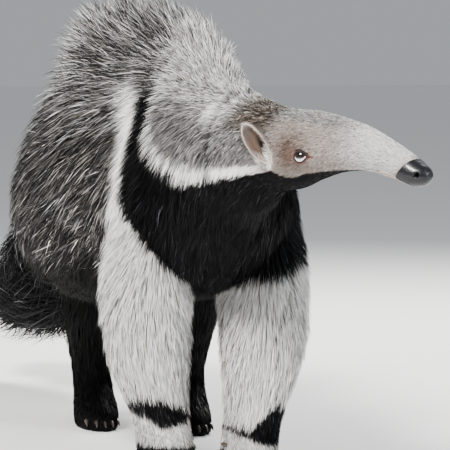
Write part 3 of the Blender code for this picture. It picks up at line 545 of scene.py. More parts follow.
def gridMesh(name, rings, uvs, colours):
    # closed tube through rings of points, with one flat face over each end
    count, sides, _ = rings.shape
    index = np.arange(count * sides).reshape(count, sides)
    low, high = index[:-1], index[1:]
    quads = np.stack((low, np.roll(low, -1, 1), np.roll(high, -1, 1), high), -1).reshape(-1, 4)
    uvQuads = np.stack((uvs[:-1, :-1], uvs[:-1, 1:], uvs[1:, 1:], uvs[1:, :-1]), 2).reshape(-1, 2)
    ends = np.concatenate((index[0, ::-1], index[-1]))
    uvEnds = np.concatenate((uvs[0, -2::-1], uvs[-1, :-1]))
    corners = np.concatenate((quads.ravel(), ends))
    sizes = np.concatenate((np.full(len(quads), 4), (sides, sides)))
    return addMesh(name, rings.reshape(-1, 3), corners, sizes, colours, np.concatenate((uvQuads, uvEnds)))


def shader(name, roughness=0.6, colour=None, attribute=None, bump=None, **values):
    made = bpy.data.materials.new(name)
    made.use_nodes = True
    nodes, links = made.node_tree.nodes, made.node_tree.links
    surface = nodes["Principled BSDF"]
    surface.inputs["Roughness"].default_value = roughness
    if colour:
        surface.inputs["Base Color"].default_value = (*colour, 1.0)
    if attribute:
        source = nodes.new("ShaderNodeVertexColor")
        source.layer_name = attribute
        links.new(source.outputs["Color"], surface.inputs["Base Color"])
    for key, value in values.items():
        surface.inputs[key.replace("_", " ")].default_value = value
    if bump:
        scale, strength, distance = bump
        place = nodes.new("ShaderNodeTexCoord")
        texture = nodes.new("ShaderNodeTexNoise")
        texture.inputs["Scale"].default_value = scale
        texture.inputs["Detail"].default_value = 6.0
        relief = nodes.new("ShaderNodeBump")
        relief.inputs["Strength"].default_value = strength
        relief.inputs["Distance"].default_value = distance
        links.new(place.outputs["Object"], texture.inputs["Vector"])
        links.new(texture.outputs["Fac"], relief.inputs["Height"])
        links.new(relief.outputs["Normal"], surface.inputs["Normal"])
    return made


# the eyeball and its lids: metres, measured along the eyeball from the opening outwards
lids = {
    "eyeball": 0.0109, "reachBy": 0.0122, "asideBy": 1.12, "near": 0.040, "front": 0.05, "far": 0.1,
    "gap": 0.0004, "thick": 0.0022, "edge": (-0.0002, 0.0030), "upperThicker": 0.5, "upperTurn": 10.0,
    "insideFrom": -0.0003, "inside": 0.0086, "hold": (0.0030, 0.0110),
    "foldHigh": 0.00055, "foldAt": 0.0042, "foldEvery": 0.0034, "foldFrom": (0.0022, 0.0042),
    "foldUntil": (0.011, 0.017), "foldTurn": 55.0, "foldLeast": 0.35, "foldSpread": 0.3,
}
# the opening: degrees round it from the nose side, reach from the middle of the eye
lidTurn = np.array((0, 22, 60, 100, 140, 180, 215, 260, 300, 338, 360))
lidReach = np.array((12.0, 8.8, 6.9, 6.8, 8.2, 9.8, 9.5, 9.5, 9.2, 9.5, 12.0)) * 0.001


def eyeAxes(side):
    # middle of the eye, with its directions outwards, to the nose and up
    middle, out = eyePlace(side)
    forward = spineFrame(eyeSeat["ahead"])[2]
    nose = unit(forward - out * (forward @ out))
    up = np.cross(out, nose)
    return middle + shift, out, nose, up * np.sign(up[2])


def lidMargin(points, side):
    # distance outside the opening, measured along the eyeball, and where round it
    middle, out, nose, up = eyeAxes(side)
    offset = points - middle
    direction = unit(offset)
    angle = np.arccos(np.clip(direction @ out, -1.0, 1.0))
    around = np.degrees(np.arctan2(direction @ up, direction @ nose)) % 360.0
    aside = np.hypot(offset @ up, offset @ nose)
    away = np.maximum(angle * lids["reachBy"], aside * lids["asideBy"])
    margin = away - np.interp(around, lidTurn, lidReach)
    near = (np.linalg.norm(offset, axis=1) < lids["near"]) & (direction @ out > lids["front"])
    return np.where(near, margin, lids["far"]), around, direction


def lidRelief(points):
    # the skin round both eyes: opening, thick lids, folds above and behind
    for side in (1.0, -1.0):
        middle = eyeAxes(side)[0]
        margin, around, direction = lidMargin(points, side)
        upper = np.clip(np.sin(np.radians(around + lids["upperTurn"])), 0.0, 1.0)
        thick = lids["thick"] * fadeIn(margin, lids["edge"]) * (1.0 + lids["upperThicker"] * upper)
        radius = np.where(margin < lids["insideFrom"], lids["inside"], lids["eyeball"] + lids["gap"] + thick)
        hold = fadeOut(margin, lids["hold"])
        points = points + (middle + direction * radius[:, None] - points) * hold[:, None]
        turned = -np.cos(np.radians(around - lids["foldTurn"] + 90.0)) + lids["foldSpread"]
        behind = lids["foldLeast"] + (1.0 - lids["foldLeast"]) * np.clip(turned, 0.0, 1.0)
        folds = np.cos((margin - lids["foldAt"]) / lids["foldEvery"] * tau)
        folds = folds * fadeIn(margin, lids["foldFrom"]) * fadeOut(margin, lids["foldUntil"])
        points = points + direction * (lids["foldHigh"] * folds * behind)[:, None]
    return points


# soft forms on each side of the head, and the folds across the nape: stations, degrees from the crest, metres
faceForms = {
    "cheek": {"ahead": 0.350, "reach": 0.018, "degrees": 122, "spread": 20, "high": 0.0026},
    "temple": {"ahead": 0.394, "reach": 0.015, "degrees": 44, "spread": 15, "high": -0.0016},
    "brow": {"ahead": 0.380, "reach": 0.013, "degrees": 66, "spread": 10, "high": 0.0016},
    "socket": {"ahead": 0.408, "reach": 0.010, "degrees": 92, "spread": 16, "high": -0.0012},
    "noseBone": {"ahead": 0.480, "reach": 0.045, "degrees": 84, "spread": 18, "high": -0.0010},
}
napeFolds = {"high": 0.0014, "from": 0.302, "every": 0.013, "middle": 0.306, "reach": 0.015, "bow": 0.0009,
             "straight": 10.0, "degrees": (26, 60)}


def faceRelief(points, ahead, around):
    size = np.abs(np.degrees((around + math.pi) % tau - math.pi))
    inward = unit(spineFrame(ahead)[0] + shift - points)
    forms = np.zeros(len(points))
    for form in faceForms.values():
        forms = forms + bell(ahead, size, form) * -form["high"]
    arc = ahead - napeFolds["bow"] * (size - napeFolds["straight"]) * (size > napeFolds["straight"])
    nape = -napeFolds["high"] * np.cos((arc - napeFolds["from"]) / napeFolds["every"] * tau)
    nape = nape * np.exp(-((arc - napeFolds["middle"]) / napeFolds["reach"]) ** 2)
    return points + inward * (forms + nape * fadeOut(size, napeFolds["degrees"]))[:, None]


# the ears: where they stand, which way they face and lie, their size, and the fold of skin in front of them
earShape = {
    "ahead": 0.334, "round": -0.15, "facing": (0.92, 0.42), "lie": (0.80, 0.52, 0.24),
    "set": (0.0222, 0.0012, 0.003), "halfWidth": 0.0138, "halfLength": 0.0345, "bend": (0.0035, 0.037),
    "sink": (0.004, 0.006, 0.030),
    "flapAt": 0.0188, "flapLean": 0.10, "flapWide": 0.0032, "flapHigh": 0.0036, "flapFrom": (-0.034, -0.016),
    "flapUntil": (0.010, 0.026), "near": 0.03, "floor": -0.0130, "bowl": (0.0125, 2.2), "rim": (0.96, 1.12),
}


def earFrame(side):
    # middle of the ear, with its directions to the front, upright and outwards
    _, left, forward = spineFrame(earShape["ahead"])
    ahead, angle = np.array([earShape["ahead"]]), np.array([math.acos(earShape["round"]) * side])
    root = bodyPoint(ahead, angle, depthOfCoat(ahead, angle))[0]
    outShare, frontShare = earShape["facing"]
    out = unit(left * side * outShare + forward * frontShare)
    up, back, aside = earShape["lie"]
    lie = unit(np.array((0.0, 0.0, up)) - forward * back + left * side * aside)
    front = unit(np.cross(lie, out))
    upright = np.cross(out, front)
    front = front * np.sign(front @ forward)
    along, behind, proud = earShape["set"]
    middle = root + lie * along - front * behind + out * proud
    return middle, front, upright * np.sign(upright @ lie), out


def earDrop(y):
    # the shell bends back along its length and sinks at the base
    drop, length = earShape["bend"]
    sunk, start, end = earShape["sink"]
    return -drop * (y / length) ** 2 - sunk * step(-y, start, end)


def earPlace(points, side):
    # place in the ear's own frame: to the front, upright, outwards, and 1 at its rim
    middle, front, upright, out = earFrame(side)
    offset = points - middle
    x, y, rise = offset @ front, offset @ upright, offset @ out
    return x, y, rise, np.hypot(x / earShape["halfWidth"], y / earShape["halfLength"])


def earRelief(points):
    # the skin makes room for the hollow of each ear and folds up in front of it
    for side in (1.0, -1.0):
        out = earFrame(side)[3]
        x, y, rise, inside = earPlace(points, side)
        near = np.abs(rise) < earShape["near"]
        flap = np.exp(-((x + earShape["flapLean"] * y - earShape["flapAt"]) / earShape["flapWide"]) ** 2)
        flap = flap * fadeIn(y, earShape["flapFrom"]) * fadeOut(y, earShape["flapUntil"]) * near
        points = points + out * (flap * earShape["flapHigh"])[:, None]
        height, power = earShape["bowl"]
        floor = earShape["floor"] + height * inside ** power + earDrop(y)
        push = np.maximum(rise - floor, 0.0) * fadeOut(inside, earShape["rim"]) * near
        points = points - out * push[:, None]
    return points


# the mouth: its line and lips, and how much room the skin leaves under the nostrils
mouth = {
    "tip": 0.590, "length": 0.072, "cornerDown": 0.0165, "frontDown": 0.0290, "ahead": 0.45,
    "lineWide": 0.0012, "lineDeep": 0.0022, "lineFrom": (-0.004, 0.004),
    "lipAt": 0.0034, "lipWide": 0.0018, "lipHigh": 0.0006, "lipFrom": (0.0, 0.012),
    "nostrilDeeper": 1.25, "nostrilWider": 1.9, "nostrilAhead": 0.55,
}
mouthCorner = spineFrame(mouth["tip"] - mouth["length"])[0]
mouthCorner = mouthCorner - np.array((0.0, 0.0, mouth["cornerDown"])) + shift
mouthFront = spineFrame(mouth["tip"])[0] - np.array((0.0, 0.0, mouth["frontDown"])) + shift
mouthAlong = unit(mouthFront - mouthCorner)
mouthAcross = unit(np.cross(mouthAlong, (0.0, 0.0, 1.0)))
mouthAbove = np.cross(mouthAcross, mouthAlong)
# the pad's rear and lower edges, and each nostril as overlapping pits: back, down, radius, depth
nosePad = {"start": 0.0262, "slant": 0.30, "lip": 0.0044, "proud": 0.0005, "thick": 0.0008,
           "kept": 0.0010, "pulled": 0.0012}
nostril = {"ahead": 0.580, "aside": 0.0160, "up": 0.0015, "edge": (0.75, 1.25)}
nostrilPits = ((0.0, 0.0, 0.0034, 0.0090), (0.0024, 0.0012, 0.0028, 0.0080), (0.0048, 0.0026, 0.0020, 0.0050),
               (0.0070, 0.0038, 0.0014, 0.0025))


def nostrilDepth(points, wider):
    # how deep both nostrils sink the surface
    centre, left, forward = spineFrame(nostril["ahead"])
    start, end = nostril["edge"]
    deepest = np.zeros(len(points))
    for side in (1.0, -1.0):
        for back, drop, radius, deep in nostrilPits:
            height = np.array((0.0, 0.0, nostril["up"] - drop))
            pit = centre + left * side * nostril["aside"] - forward * back + height + shift
            reach = np.linalg.norm(points - pit, axis=1)
            outside = step(reach, radius * start * wider, radius * end * wider)
            deepest = np.maximum(deepest, deep * (1.0 - outside))
    return deepest


def padPlace(points):
    # distance in front of the pad's rear edge, and height over the mouth
    offset = points - mouthCorner
    rise = offset @ mouthAbove
    return offset @ mouthAlong - nosePad["slant"] * rise - nosePad["start"], rise


def mouthRelief(points, ahead):
    # the line of the mouth between its lips, and room for the nostrils
    offset = points - mouthCorner
    run, rise = offset @ mouthAlong, offset @ mouthAbove
    inward = unit(spineFrame(ahead)[0] + shift - points)
    inMouth = ahead > mouth["ahead"]
    line = np.exp(-(rise / mouth["lineWide"]) ** 2) * fadeIn(run, mouth["lineFrom"]) * inMouth
    lip = np.exp(-((np.abs(rise) - mouth["lipAt"]) / mouth["lipWide"]) ** 2)
    lip = lip * fadeIn(run, mouth["lipFrom"]) * inMouth
    room = mouth["nostrilDeeper"] * nostrilDepth(points, mouth["nostrilWider"])
    room = room * (ahead > mouth["nostrilAhead"])
    return points + inward * (line * mouth["lineDeep"] - lip * mouth["lipHigh"] + room)[:, None]


def relieved(points, ahead, around):
    # all the shaping that the head gets over its plain form
    points = faceRelief(points, ahead, around)
    points = lidRelief(points)
    points = mouthRelief(points, ahead)
    return earRelief(points)


def tinted(colours, colour, share):
    return colours + (np.array(colour) - colours) * share[:, None]


# colours that lie over the coat's tone on the face, how far each reaches, and how strong it is
faceColours = {
    "aroundEye": {"colour": (0.26, 0.162, 0.130), "reach": (0.0060, 0.0125), "share": 0.66},
    "lowerLid": {"colour": (0.100, 0.060, 0.055), "reach": (0.0028, 0.0048), "share": 0.80},
    # upperLid: the lid's own dark skin with painted shade under the upper lid, near black over its upper side
    "upperLid": {"colour": (0.026, 0.021, 0.020), "reach": (0.0046, 0.0076), "share": 0.97, "turn": 15.0,
                 "gain": 1.6},
    "lidEdge": {"colour": (0.045, 0.028, 0.024), "reach": (0.0010, 0.0026), "share": 0.9},
    "tear": {"colour": (0.070, 0.022, 0.018), "from": (-0.001, 0.0), "reach": (0.0095, 0.0135), "share": 0.9,
             "wide": (0.0006, 0.0018), "fan": 0.012},
    "ochre": {"colour": (0.42, 0.27, 0.17), "share": 0.55, "ahead": 0.010, "long": 0.007, "down": 0.018,
              "high": 0.006, "out": -0.01},
    "behindPad": {"colour": (0.36, 0.29, 0.235), "reach": (-0.0065, -0.001), "share": 0.6, "ahead": 0.50},
    "lips": {"colour": (0.56, 0.36, 0.29), "reach": (-0.006, 0.006), "share": 0.85, "ahead": 0.46,
             "gain": 1.3, "at": 0.0008, "high": 0.0044},
    "mouthLine": {"colour": (0.05, 0.02, 0.02), "reach": (-0.001, 0.005), "share": 0.85, "ahead": 0.46,
                  "high": 0.0010},
}


def faceShade(points, colours, ahead):
    # bare dark lids with painted shade on the upper one, the tear line, pink lips, over the tone of the coat
    def lay(name, mask):
        return tinted(colours, faceColours[name]["colour"], mask * faceColours[name]["share"])

    upperLid, tear, ochre, lips = (faceColours[name] for name in ("upperLid", "tear", "ochre", "lips"))
    for side in (1.0, -1.0):
        middle, out, nose, _ = eyeAxes(side)
        margin, around, _ = lidMargin(points, side)
        near = {name: fadeOut(margin, faceColours[name]["reach"])
                for name in ("aroundEye", "lowerLid", "upperLid", "lidEdge", "tear")}
        upper = np.clip(np.sin(np.radians(around + upperLid["turn"])) * upperLid["gain"], 0.0, 1.0)
        colours = lay("aroundEye", near["aroundEye"])
        colours = lay("lowerLid", near["lowerLid"] * (1.0 - upper))
        # painted shade over the upper lid's dark skin, strongest on the upper side
        colours = lay("upperLid", near["upperLid"] * upper)
        colours = lay("lidEdge", near["lidEdge"])
        fromNose = np.minimum(np.abs((around + 180.0) % 360.0 - 180.0), 90.0)
        thin = fadeOut(np.sin(np.radians(fromNose)) * (margin + tear["fan"]), tear["wide"])
        colours = lay("tear", thin * fadeIn(margin, tear["from"]) * near["tear"])
        offset = points - middle
        under = np.exp(-((offset @ nose - ochre["ahead"]) / ochre["long"]) ** 2
                       - ((offset[:, 2] + ochre["down"]) / ochre["high"]) ** 2)
        colours = lay("ochre", under * (offset @ out > ochre["out"]))
    offset = points - mouthCorner
    run, rise = offset @ mouthAlong, offset @ mouthAbove
    behindPad, line = faceColours["behindPad"], faceColours["mouthLine"]
    colours = lay("behindPad", fadeIn(padPlace(points)[0], behindPad["reach"]) * (ahead > behindPad["ahead"]))
    pink = np.exp(-((rise - lips["at"]) / lips["high"]) ** 2)
    pink = pink * fadeIn(run, lips["reach"]) * (ahead > lips["ahead"])
    colours = lay("lips", np.minimum(1.0, pink * lips["gain"]))
    slit = np.exp(-(rise / line["high"]) ** 2) * fadeIn(run, line["reach"]) * (ahead > line["ahead"])
    return lay("mouthLine", slit)


underCoat = {"root": 0.80, "tip": 0.16}


def toneShade(tone):
    # the skin takes most of its colour from the roots of the hair over it, and a little from the tips
    return tone[:, :3] * underCoat["root"] + tone[:, 3:6] * underCoat["tip"]


# the skin's grid: stations from, to and apart, the last one, sides; then the finer cells round the eyes
skinGrid = {
    "stations": ((-1.345, -0.71, 0.013), (-0.71, 0.15, 0.010), (0.15, 0.285, 0.006), (0.285, 0.5895, 0.0019)),
    "last": 0.5895, "sides": 150, "headLower": (0.0012, 0.26, 0.30), "headFrom": 0.24,
    "eyeRadius": 0.027, "eyeCuts": 3, "eyeStations": 0.05, "atOnce": 2000,
}


def headLift(ahead, around):
    # as the skin's lift, a little lower on the head, so that its short hair ends at the right height
    lower, start, end = skinGrid["headLower"]
    return skinLift(ahead, around) - lower * step(ahead, start, end)


def finerAtEyes(mesh):
    shape = bmesh.new()
    shape.from_mesh(mesh)
    for side in (1.0, -1.0):
        middle = Vector(eyeAxes(side)[0])
        near = [edge for edge in shape.edges
                if ((edge.verts[0].co + edge.verts[1].co) / 2.0 - middle).length < skinGrid["eyeRadius"]]
        bmesh.ops.subdivide_edges(shape, edges=near, cuts=skinGrid["eyeCuts"], use_grid_fill=True)
    shape.to_mesh(mesh)
    shape.free()


def buildSkin():
    stations = [np.arange(*run) for run in skinGrid["stations"]]
    around = np.linspace(-math.pi, math.pi, skinGrid["sides"] + 1)
    a, b = np.meshgrid(np.concatenate(stations + [(skinGrid["last"],)]), around, indexing="ij")
    rings = bodyPoint(a, b, headLift(a, b))[:, :-1]
    flatA, flatB = a[:, :-1].ravel(), b[:, :-1].ravel()
    obj = gridMesh("anteater_skin", rings, bodyUnwrap(a, b), None)
    finerAtEyes(obj.data)
    count, old = len(obj.data.vertices), len(flatA)
    points = np.empty(count * 3)
    obj.data.vertices.foreach_get("co", points)
    points = points.reshape(-1, 3)
    # each new point takes station and angle from the nearest old one
    placed = np.stack((flatA, flatB), -1)
    params = np.full((count, 2), np.nan)
    params[:old] = placed
    source = rings.reshape(-1, 3)
    window = np.where(np.abs(flatA - eyeSeat["ahead"]) < skinGrid["eyeStations"])[0]
    for start in range(old, count, skinGrid["atOnce"]):
        chunk = points[start:start + skinGrid["atOnce"]]
        distance = np.linalg.norm(chunk[:, None] - source[window][None], axis=2)
        params[start:start + skinGrid["atOnce"]] = placed[window[distance.argmin(1)]]
    ahead, around = params.T
    onHead = ahead > skinGrid["headFrom"]
    points[onHead] = relieved(points[onHead], ahead[onHead], around[onHead])
    obj.data.vertices.foreach_set("co", points.ravel())
    return obj, points, ahead, around


# each leg's grid, and the toes that press out of the front of the foot
legGrid = {"heights": ((0.425, 0.10, -0.008), (0.10, 0.02, -0.004)), "sides": 72,
           "sole": (0.016, 0.012, 0.008, 0.005, 0.002, 0.0)}
toes = {"hind": 5.0, "fore": 4.0, "spread": 1.05, "height": (0.014, 0.042), "forward": (0.1, 0.6),
        "deep": 0.006}


def buildLegSkin(name):
    heights = np.concatenate([np.arange(*run) for run in legGrid["heights"]] + [legGrid["sole"]])
    around = np.linspace(0.0, tau, legGrid["sides"] + 1)
    h, b = np.meshgrid(heights, around, indexing="ij")
    rings = legPoint(legs[name], h, b, np.zeros_like(h))
    number = toes["hind"] if name.startswith("hind") else toes["fore"]
    cleft = np.abs(np.cos(np.arccos(np.clip(np.cos(b), -1, 1)) * number / toes["spread"]))
    inset = (1.0 - cleft) ** 2 * fadeIn(-np.sin(b), toes["forward"])
    inset = inset * fadeOut(h, toes["height"]) * toes["deep"]
    middle = rings[:, :-1].mean(axis=1, keepdims=True)
    rings = rings - unit(rings - middle) * inset[..., None]
    uvs = legUnwrap(name, h, np.minimum(b, tau - 1e-6))
    obj = gridMesh(name + "_skin", rings[::-1, :-1], uvs[::-1], None)
    return obj, h[:, :-1].ravel(), b[:, :-1].ravel(), rings[:, :-1].reshape(-1, 3)


print("skin of body and head")
skin, skinPoints, skinAhead, skinAround = buildSkin()
sources = [("body", skinPoints, skinAhead, skinAround)]
for name in legs:
    legSkin, heights, angles, places = buildLegSkin(name)
    sources.append((name, places, heights, angles))
    joined = skin.modifiers.new(name, "BOOLEAN")
    joined.operation, joined.object, joined.solver = "UNION", legSkin, "MANIFOLD"
    bpy.context.view_layer.update()
    merged = bpy.data.meshes.new_from_object(skin.evaluated_get(bpy.context.evaluated_depsgraph_get()))
    skin.modifiers.clear()
    skin.data = merged
    bpy.data.objects.remove(legSkin)
skin.data.name = "anteater_skin"
print("skin joined with the legs,", len(skin.data.vertices), "points")


def paintSkin():
    every = np.concatenate([source[1] for source in sources])
    tone = np.concatenate([
        bodyTone(a, b, p) if name == "body" else legTone(name, a, b, p) for name, p, a, b in sources])
    shade = toneShade(tone)
    body = len(sources[0][1])
    shade[:body] = faceShade(sources[0][1], shade[:body], sources[0][2])
    tree = KDTree(len(every))
    for i, place in enumerate(every):
        tree.insert(place, i)
    tree.balance()
    count = len(skin.data.vertices)
    nearest = np.array([tree.find(vertex.co)[1] for vertex in skin.data.vertices])
    colours = np.ones((count, 4))
    colours[:, :3] = shade[nearest]
    layer = skin.data.color_attributes.new("shade", "FLOAT_COLOR", "POINT")
    layer.data.foreach_set("color", colours.astype(np.float32).ravel())


paintSkin()
skin.data.shade_smooth()
skinShader = shader("anteater_skin", 0.62, attribute="shade", bump=(420.0, 0.55, 0.0012),
                    Specular_IOR_Level=0.20)
skin.data.materials.clear()
skin.data.materials.append(skinShader)
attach(skin, "root")
fleshNodes = ["head", "neck", "torso", "tail", *legs]
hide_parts(*fleshNodes, "ear_left", "ear_right")

hairShader = shader("anteater_coat", 0.52, attribute="shade", Specular_IOR_Level=0.16)


# the shape of each hair's ribbon, where it bends, and the size of its patch of the unwrap
ribbon = {"root": 0.75, "swell": 0.5, "swellUntil": 0.4, "sharp": 3.6, "patch": 0.003}
hairShares = {3: np.array((0.0, 0.55, 1.0)), 4: np.array((0.0, 0.38, 0.72, 1.0))}


def strands(name, paths, outward, width, hairShade, uv, roll):
    # tapered ribbons along paths of several points each
    count, points, _ = paths.shape
    along = unit(np.gradient(paths, axis=1))
    across = unit(np.cross(along, outward))
    over = np.cross(across, along)
    across = across * np.cos(roll)[:, None, None] + over * np.sin(roll)[:, None, None]
    share = hairShares[points]
    taper = ribbon["root"] + ribbon["swell"] * np.minimum(share, ribbon["swellUntil"])
    taper = taper * (1.0 - share ** ribbon["sharp"])
    half = across * (width[:, None] * taper / 2.0)[..., None]
    last = points - 1
    edges = np.stack((paths[:, :last] - half[:, :last], paths[:, :last] + half[:, :last]), 2)
    vertices = np.concatenate((edges.reshape(count, 2 * last, 3), paths[:, last:]), 1)
    each = 2 * last + 1
    pattern, sizes = [], []
    for k in range(last - 1):
        pattern += [2 * k, 2 * k + 1, 2 * k + 3, 2 * k + 2]
        sizes.append(4)
    pattern += [2 * last - 2, 2 * last - 1, 2 * last]
    sizes.append(3)
    corners = (np.arange(count)[:, None] * each + np.array(pattern)).ravel()
    rows = np.append(np.repeat(np.arange(last), 2), last)
    colours = np.ones((count, each, 4))
    colours[..., :3] = hairShade[:, rows]
    local = np.zeros((each, 2))
    local[:-1, 0] = np.tile((-0.5, 0.5), last)
    local[:, 1] = share[rows] - 0.5
    uvs = (uv[:, None] + local[None] * ribbon["patch"]).reshape(-1, 2)[corners]
    obj = addMesh(name, vertices.reshape(-1, 3), corners, np.tile(sizes, count), colours.reshape(-1, 4), uvs)
    obj.data.materials.append(hairShader)
    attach(obj, "root")


# how hairs differ: shares of dark, banded and nearly white ones, and how much lighter or darker they are
hairHabit = {
    "single": 0.55, "tuft": 0.34, "even": 0.12, "darkOnes": 0.46, "dark": 0.16,
    "paleOnes": 0.16, "paleFrom": 0.95, "pale": 5.0, "warmth": 0.03, "rootLimit": 0.9, "tipLimit": 0.95,
    "lightens": (0.25, 0.95), "banded": 0.36, "darkTips": 0.30, "darkTip": 0.8,
}


def hairColours(tone, tuftGain, points):
    count, habit = len(tone), hairHabit
    spread = tone[:, 6]
    gain = draw.normal(0.0, 1.0, count) * habit["single"] + tuftGain * habit["tuft"]
    gain = np.exp(gain * spread - habit["even"] * spread)
    gain = np.where(draw.random(count) < spread * habit["darkOnes"], gain * habit["dark"], gain)
    pale = (draw.random(count) < habit["paleOnes"]) & (spread > habit["paleFrom"])
    gain = np.where(pale, gain * habit["pale"], gain)[:, None]
    warm = 1.0 + draw.normal(0.0, habit["warmth"], (count, 1)) * np.array((1.0, 0.0, -1.0))
    root = np.clip(tone[:, :3] * warm, 0.0, habit["rootLimit"])
    tip = np.clip(tone[:, 3:6] * gain * warm, 0.0, habit["tipLimit"])
    bands = draw.normal(0.0, habit["banded"], (count, points)) * spread[:, None]
    light = fadeIn(hairShares[points], habit["lightens"]) + bands
    light[:, -1] = 1.0 - habit["darkTip"] * (draw.random(count) < habit["darkTips"] * spread)
    light[:, 0] = 0.0
    light = np.clip(light, 0.0, 1.0)[..., None]
    return root[:, None] * (1.0 - light) + tip[:, None] * light


# one entry for each piece of the body's coat: where it grows, how many hairs, how wide they are, how many
# points each has, how far apart its tufts stand and how far they gather, and the slot it belongs to
bodyCoats = {
    "coat_head": {"ahead": (0.272, 0.572), "count": 50000, "width": 0.0007, "points": 3, "slot": "head"},
    "coat_neck": {"ahead": (0.095, 0.290), "count": 60000, "width": 0.0010, "points": 3, "tuft": 0.006,
                  "gather": 0.22, "slot": "neck"},
    "coat_shoulders": {"ahead": (-0.095, 0.105), "count": 62000, "width": 0.0012, "points": 3, "tuft": 0.009,
                       "gather": 0.26},
    "coat_back": {"ahead": (-0.300, -0.085), "count": 54000, "width": 0.0014, "points": 3, "tuft": 0.010,
                  "gather": 0.24},
    "coat_loin": {"ahead": (-0.510, -0.290), "count": 44000, "width": 0.0016, "points": 3, "tuft": 0.011,
                  "gather": 0.24},
    "coat_rump": {"ahead": (-0.725, -0.500), "count": 38000, "width": 0.0018, "points": 3, "tuft": 0.016},
    "coat_tail_root": {"ahead": (-1.020, -0.715), "count": 23000, "width": 0.0021, "points": 4, "tuft": 0.018,
                       "slot": "tail"},
    "coat_tail_end": {"ahead": (-1.335, -1.010), "count": 21000, "width": 0.0021, "points": 4, "tuft": 0.018,
                      "slot": "tail"},
}
# how the body's hairs lie: metres and shares, with angles in radians where the name doesn't say degrees
bodyLie = {
    "onHead": (0.28, 0.34), "sunk": 0.001, "tuft": 0.004, "gather": 0.30, "width": (0.7, 1.3), "roll": 0.45,
    "stands": 0.80, "standWave": (0.10, 0.030), "tuftStands": 0.11, "hairStands": 0.14,
    "standLimits": (0.30, 1.12), "leastRise": 0.0012, "headRise": (0.0006, 0.0010), "droop": (1.5, 1.9),
    "droopFrom": 0.72,
    "length": (0.030, 0.50), "crestShorter": 0.45, "neckShorter": (0.55, 0.12, 0.27),
    "headLength": (0.0062, 0.003, 0.34, 0.44), "brush": (0.085, 1.14, 1.33), "lengths": (0.75, 1.25),
    "fallDegrees": (6.0, 40.0, 16.0), "headFall": 0.6, "fallWave": (0.25, 0.045), "tuftFall": 0.17,
    "loose": (0.14, 0.14, -0.10, 0.10), "leastRound": 0.012, "tailEnd": -1.530, "toneAt": (0.2, 0.8),
    "faceTint": (0.3, 0.35, 0.4),
}
spreadOut = {"rows": 60, "sides": 40, "stations": 30}  # how finely the hairs' places are weighed


def girthRuns(ahead):
    # lengths round the skin at some stations, piece by piece
    around = np.linspace(-math.pi, math.pi, spreadOut["sides"] + 1)
    a, b = np.meshgrid(ahead, around, indexing="ij")
    return around, np.linalg.norm(np.diff(bodyPoint(a, b, skinLift(a, b)), axis=1), axis=2)


def scatter(low, high, count):
    # even spread over the body between two stations
    rows = np.linspace(low, high, spreadOut["rows"] + 1)
    weight = girthRuns((rows[:-1] + rows[1:]) / 2.0)[1].sum(1)
    row = draw.choice(spreadOut["rows"], count, p=weight / weight.sum())
    return rows[row] + draw.random(count) * (rows[1] - rows[0])


def aroundBody(ahead):
    # angles spread evenly by length round each section
    number = spreadOut["stations"]
    stations = np.linspace(ahead.min(), ahead.max(), number)
    around, lengths = girthRuns(stations)
    run = np.cumsum(lengths, axis=1)
    run = np.concatenate((np.zeros((number, 1)), run), 1) / run[:, -1:]
    pick = np.clip(np.searchsorted(stations, ahead), 0, number - 1)
    wanted = draw.random(len(ahead))
    angle = np.empty(len(ahead))
    for i in range(number):
        chosen = pick == i
        angle[chosen] = np.interp(wanted[chosen], run[i], around)
    return angle


def tuftOf(places, size):
    # which tuft each hair belongs to, by cells with wavering edges
    waves = np.stack([noise(places, size * 2.0, seed) for seed in (31, 32, 33)], -1)
    cell = np.floor((places + waves * size * 0.7) / size).astype(np.int64)
    return np.unique(cell, axis=0, return_inverse=True)[1].ravel()


def gathered(paths, tuft, pull):
    # hairs of one tuft lean together towards their tips
    size = np.bincount(tuft)
    points = paths.shape[1]
    share = hairShares[points][None, :, None] ** 1.4
    middle = np.stack([np.bincount(tuft, paths[:, i, k]) / size for i in range(points) for k in range(3)], -1)
    middle = middle.reshape(-1, points, 3)[tuft]
    return paths + (middle - paths) * share * pull


def lengthOnBody(ahead, around, depth, onHead):
    # long on the body, shorter on the crest and the neck, short on the head, longest in the tail's brush
    lie = bodyLie
    plain, more, start, end = lie["headLength"]
    shortHair = plain + more * (1 - step(ahead, start, end))
    crest = np.maximum(0.0, np.cos(around)) ** 4
    plain, more = lie["length"]
    length = (plain + more * depth) * (1.0 - lie["crestShorter"] * crest) * (1 - onHead) + shortHair * onHead
    less, start, end = lie["neckShorter"]
    length = length * (1.0 - less * step(ahead, start, end) * (1 - onHead))
    longer, start, end = lie["brush"]
    length = length + longer * step(-ahead, start, end)
    return length * draw.uniform(*lie["lengths"], len(ahead))


def fallOnBody(ahead, around, root, tuftDraw, onHead):
    # how steeply the hairs turn down, in radians from straight back
    lie = bodyLie
    under = np.maximum(0.0, -np.cos(around))
    side = np.sin(np.abs(around)) ** 2
    onTop, onSide, below = lie["fallDegrees"]
    high, cell = lie["fallWave"]
    fall = np.radians(onTop + onSide * side + below * under)
    fall = fall * (1.0 - lie["headFall"] * onHead) + noise(root, cell, 8) * high
    plain, more, start, end = lie["loose"]
    loose = plain + more * step(-ahead, start, end)
    return fall + draw.normal(0.0, 1.0, len(ahead)) * loose + lie["tuftFall"] * tuftDraw * (1 - onHead)


def shapedFace(paths, a, b, shade, ahead):
    # the head's hair follows the face's shape and takes some of its colours
    flatA, flatB = a.ravel(), b.ravel()
    under = bodyPoint(flatA, flatB, headLift(flatA, flatB))
    shaped = relieved(under, flatA, flatB)
    paths = paths + (shaped - under).reshape(paths.shape)
    bare = faceShade(paths[:, 0], shade.mean(axis=1), ahead)[:, None]
    shade = shade + (bare - shade) * np.array(bodyLie["faceTint"])[None, :, None]
    return paths, shade, facePlaces(shaped.reshape(paths.shape))


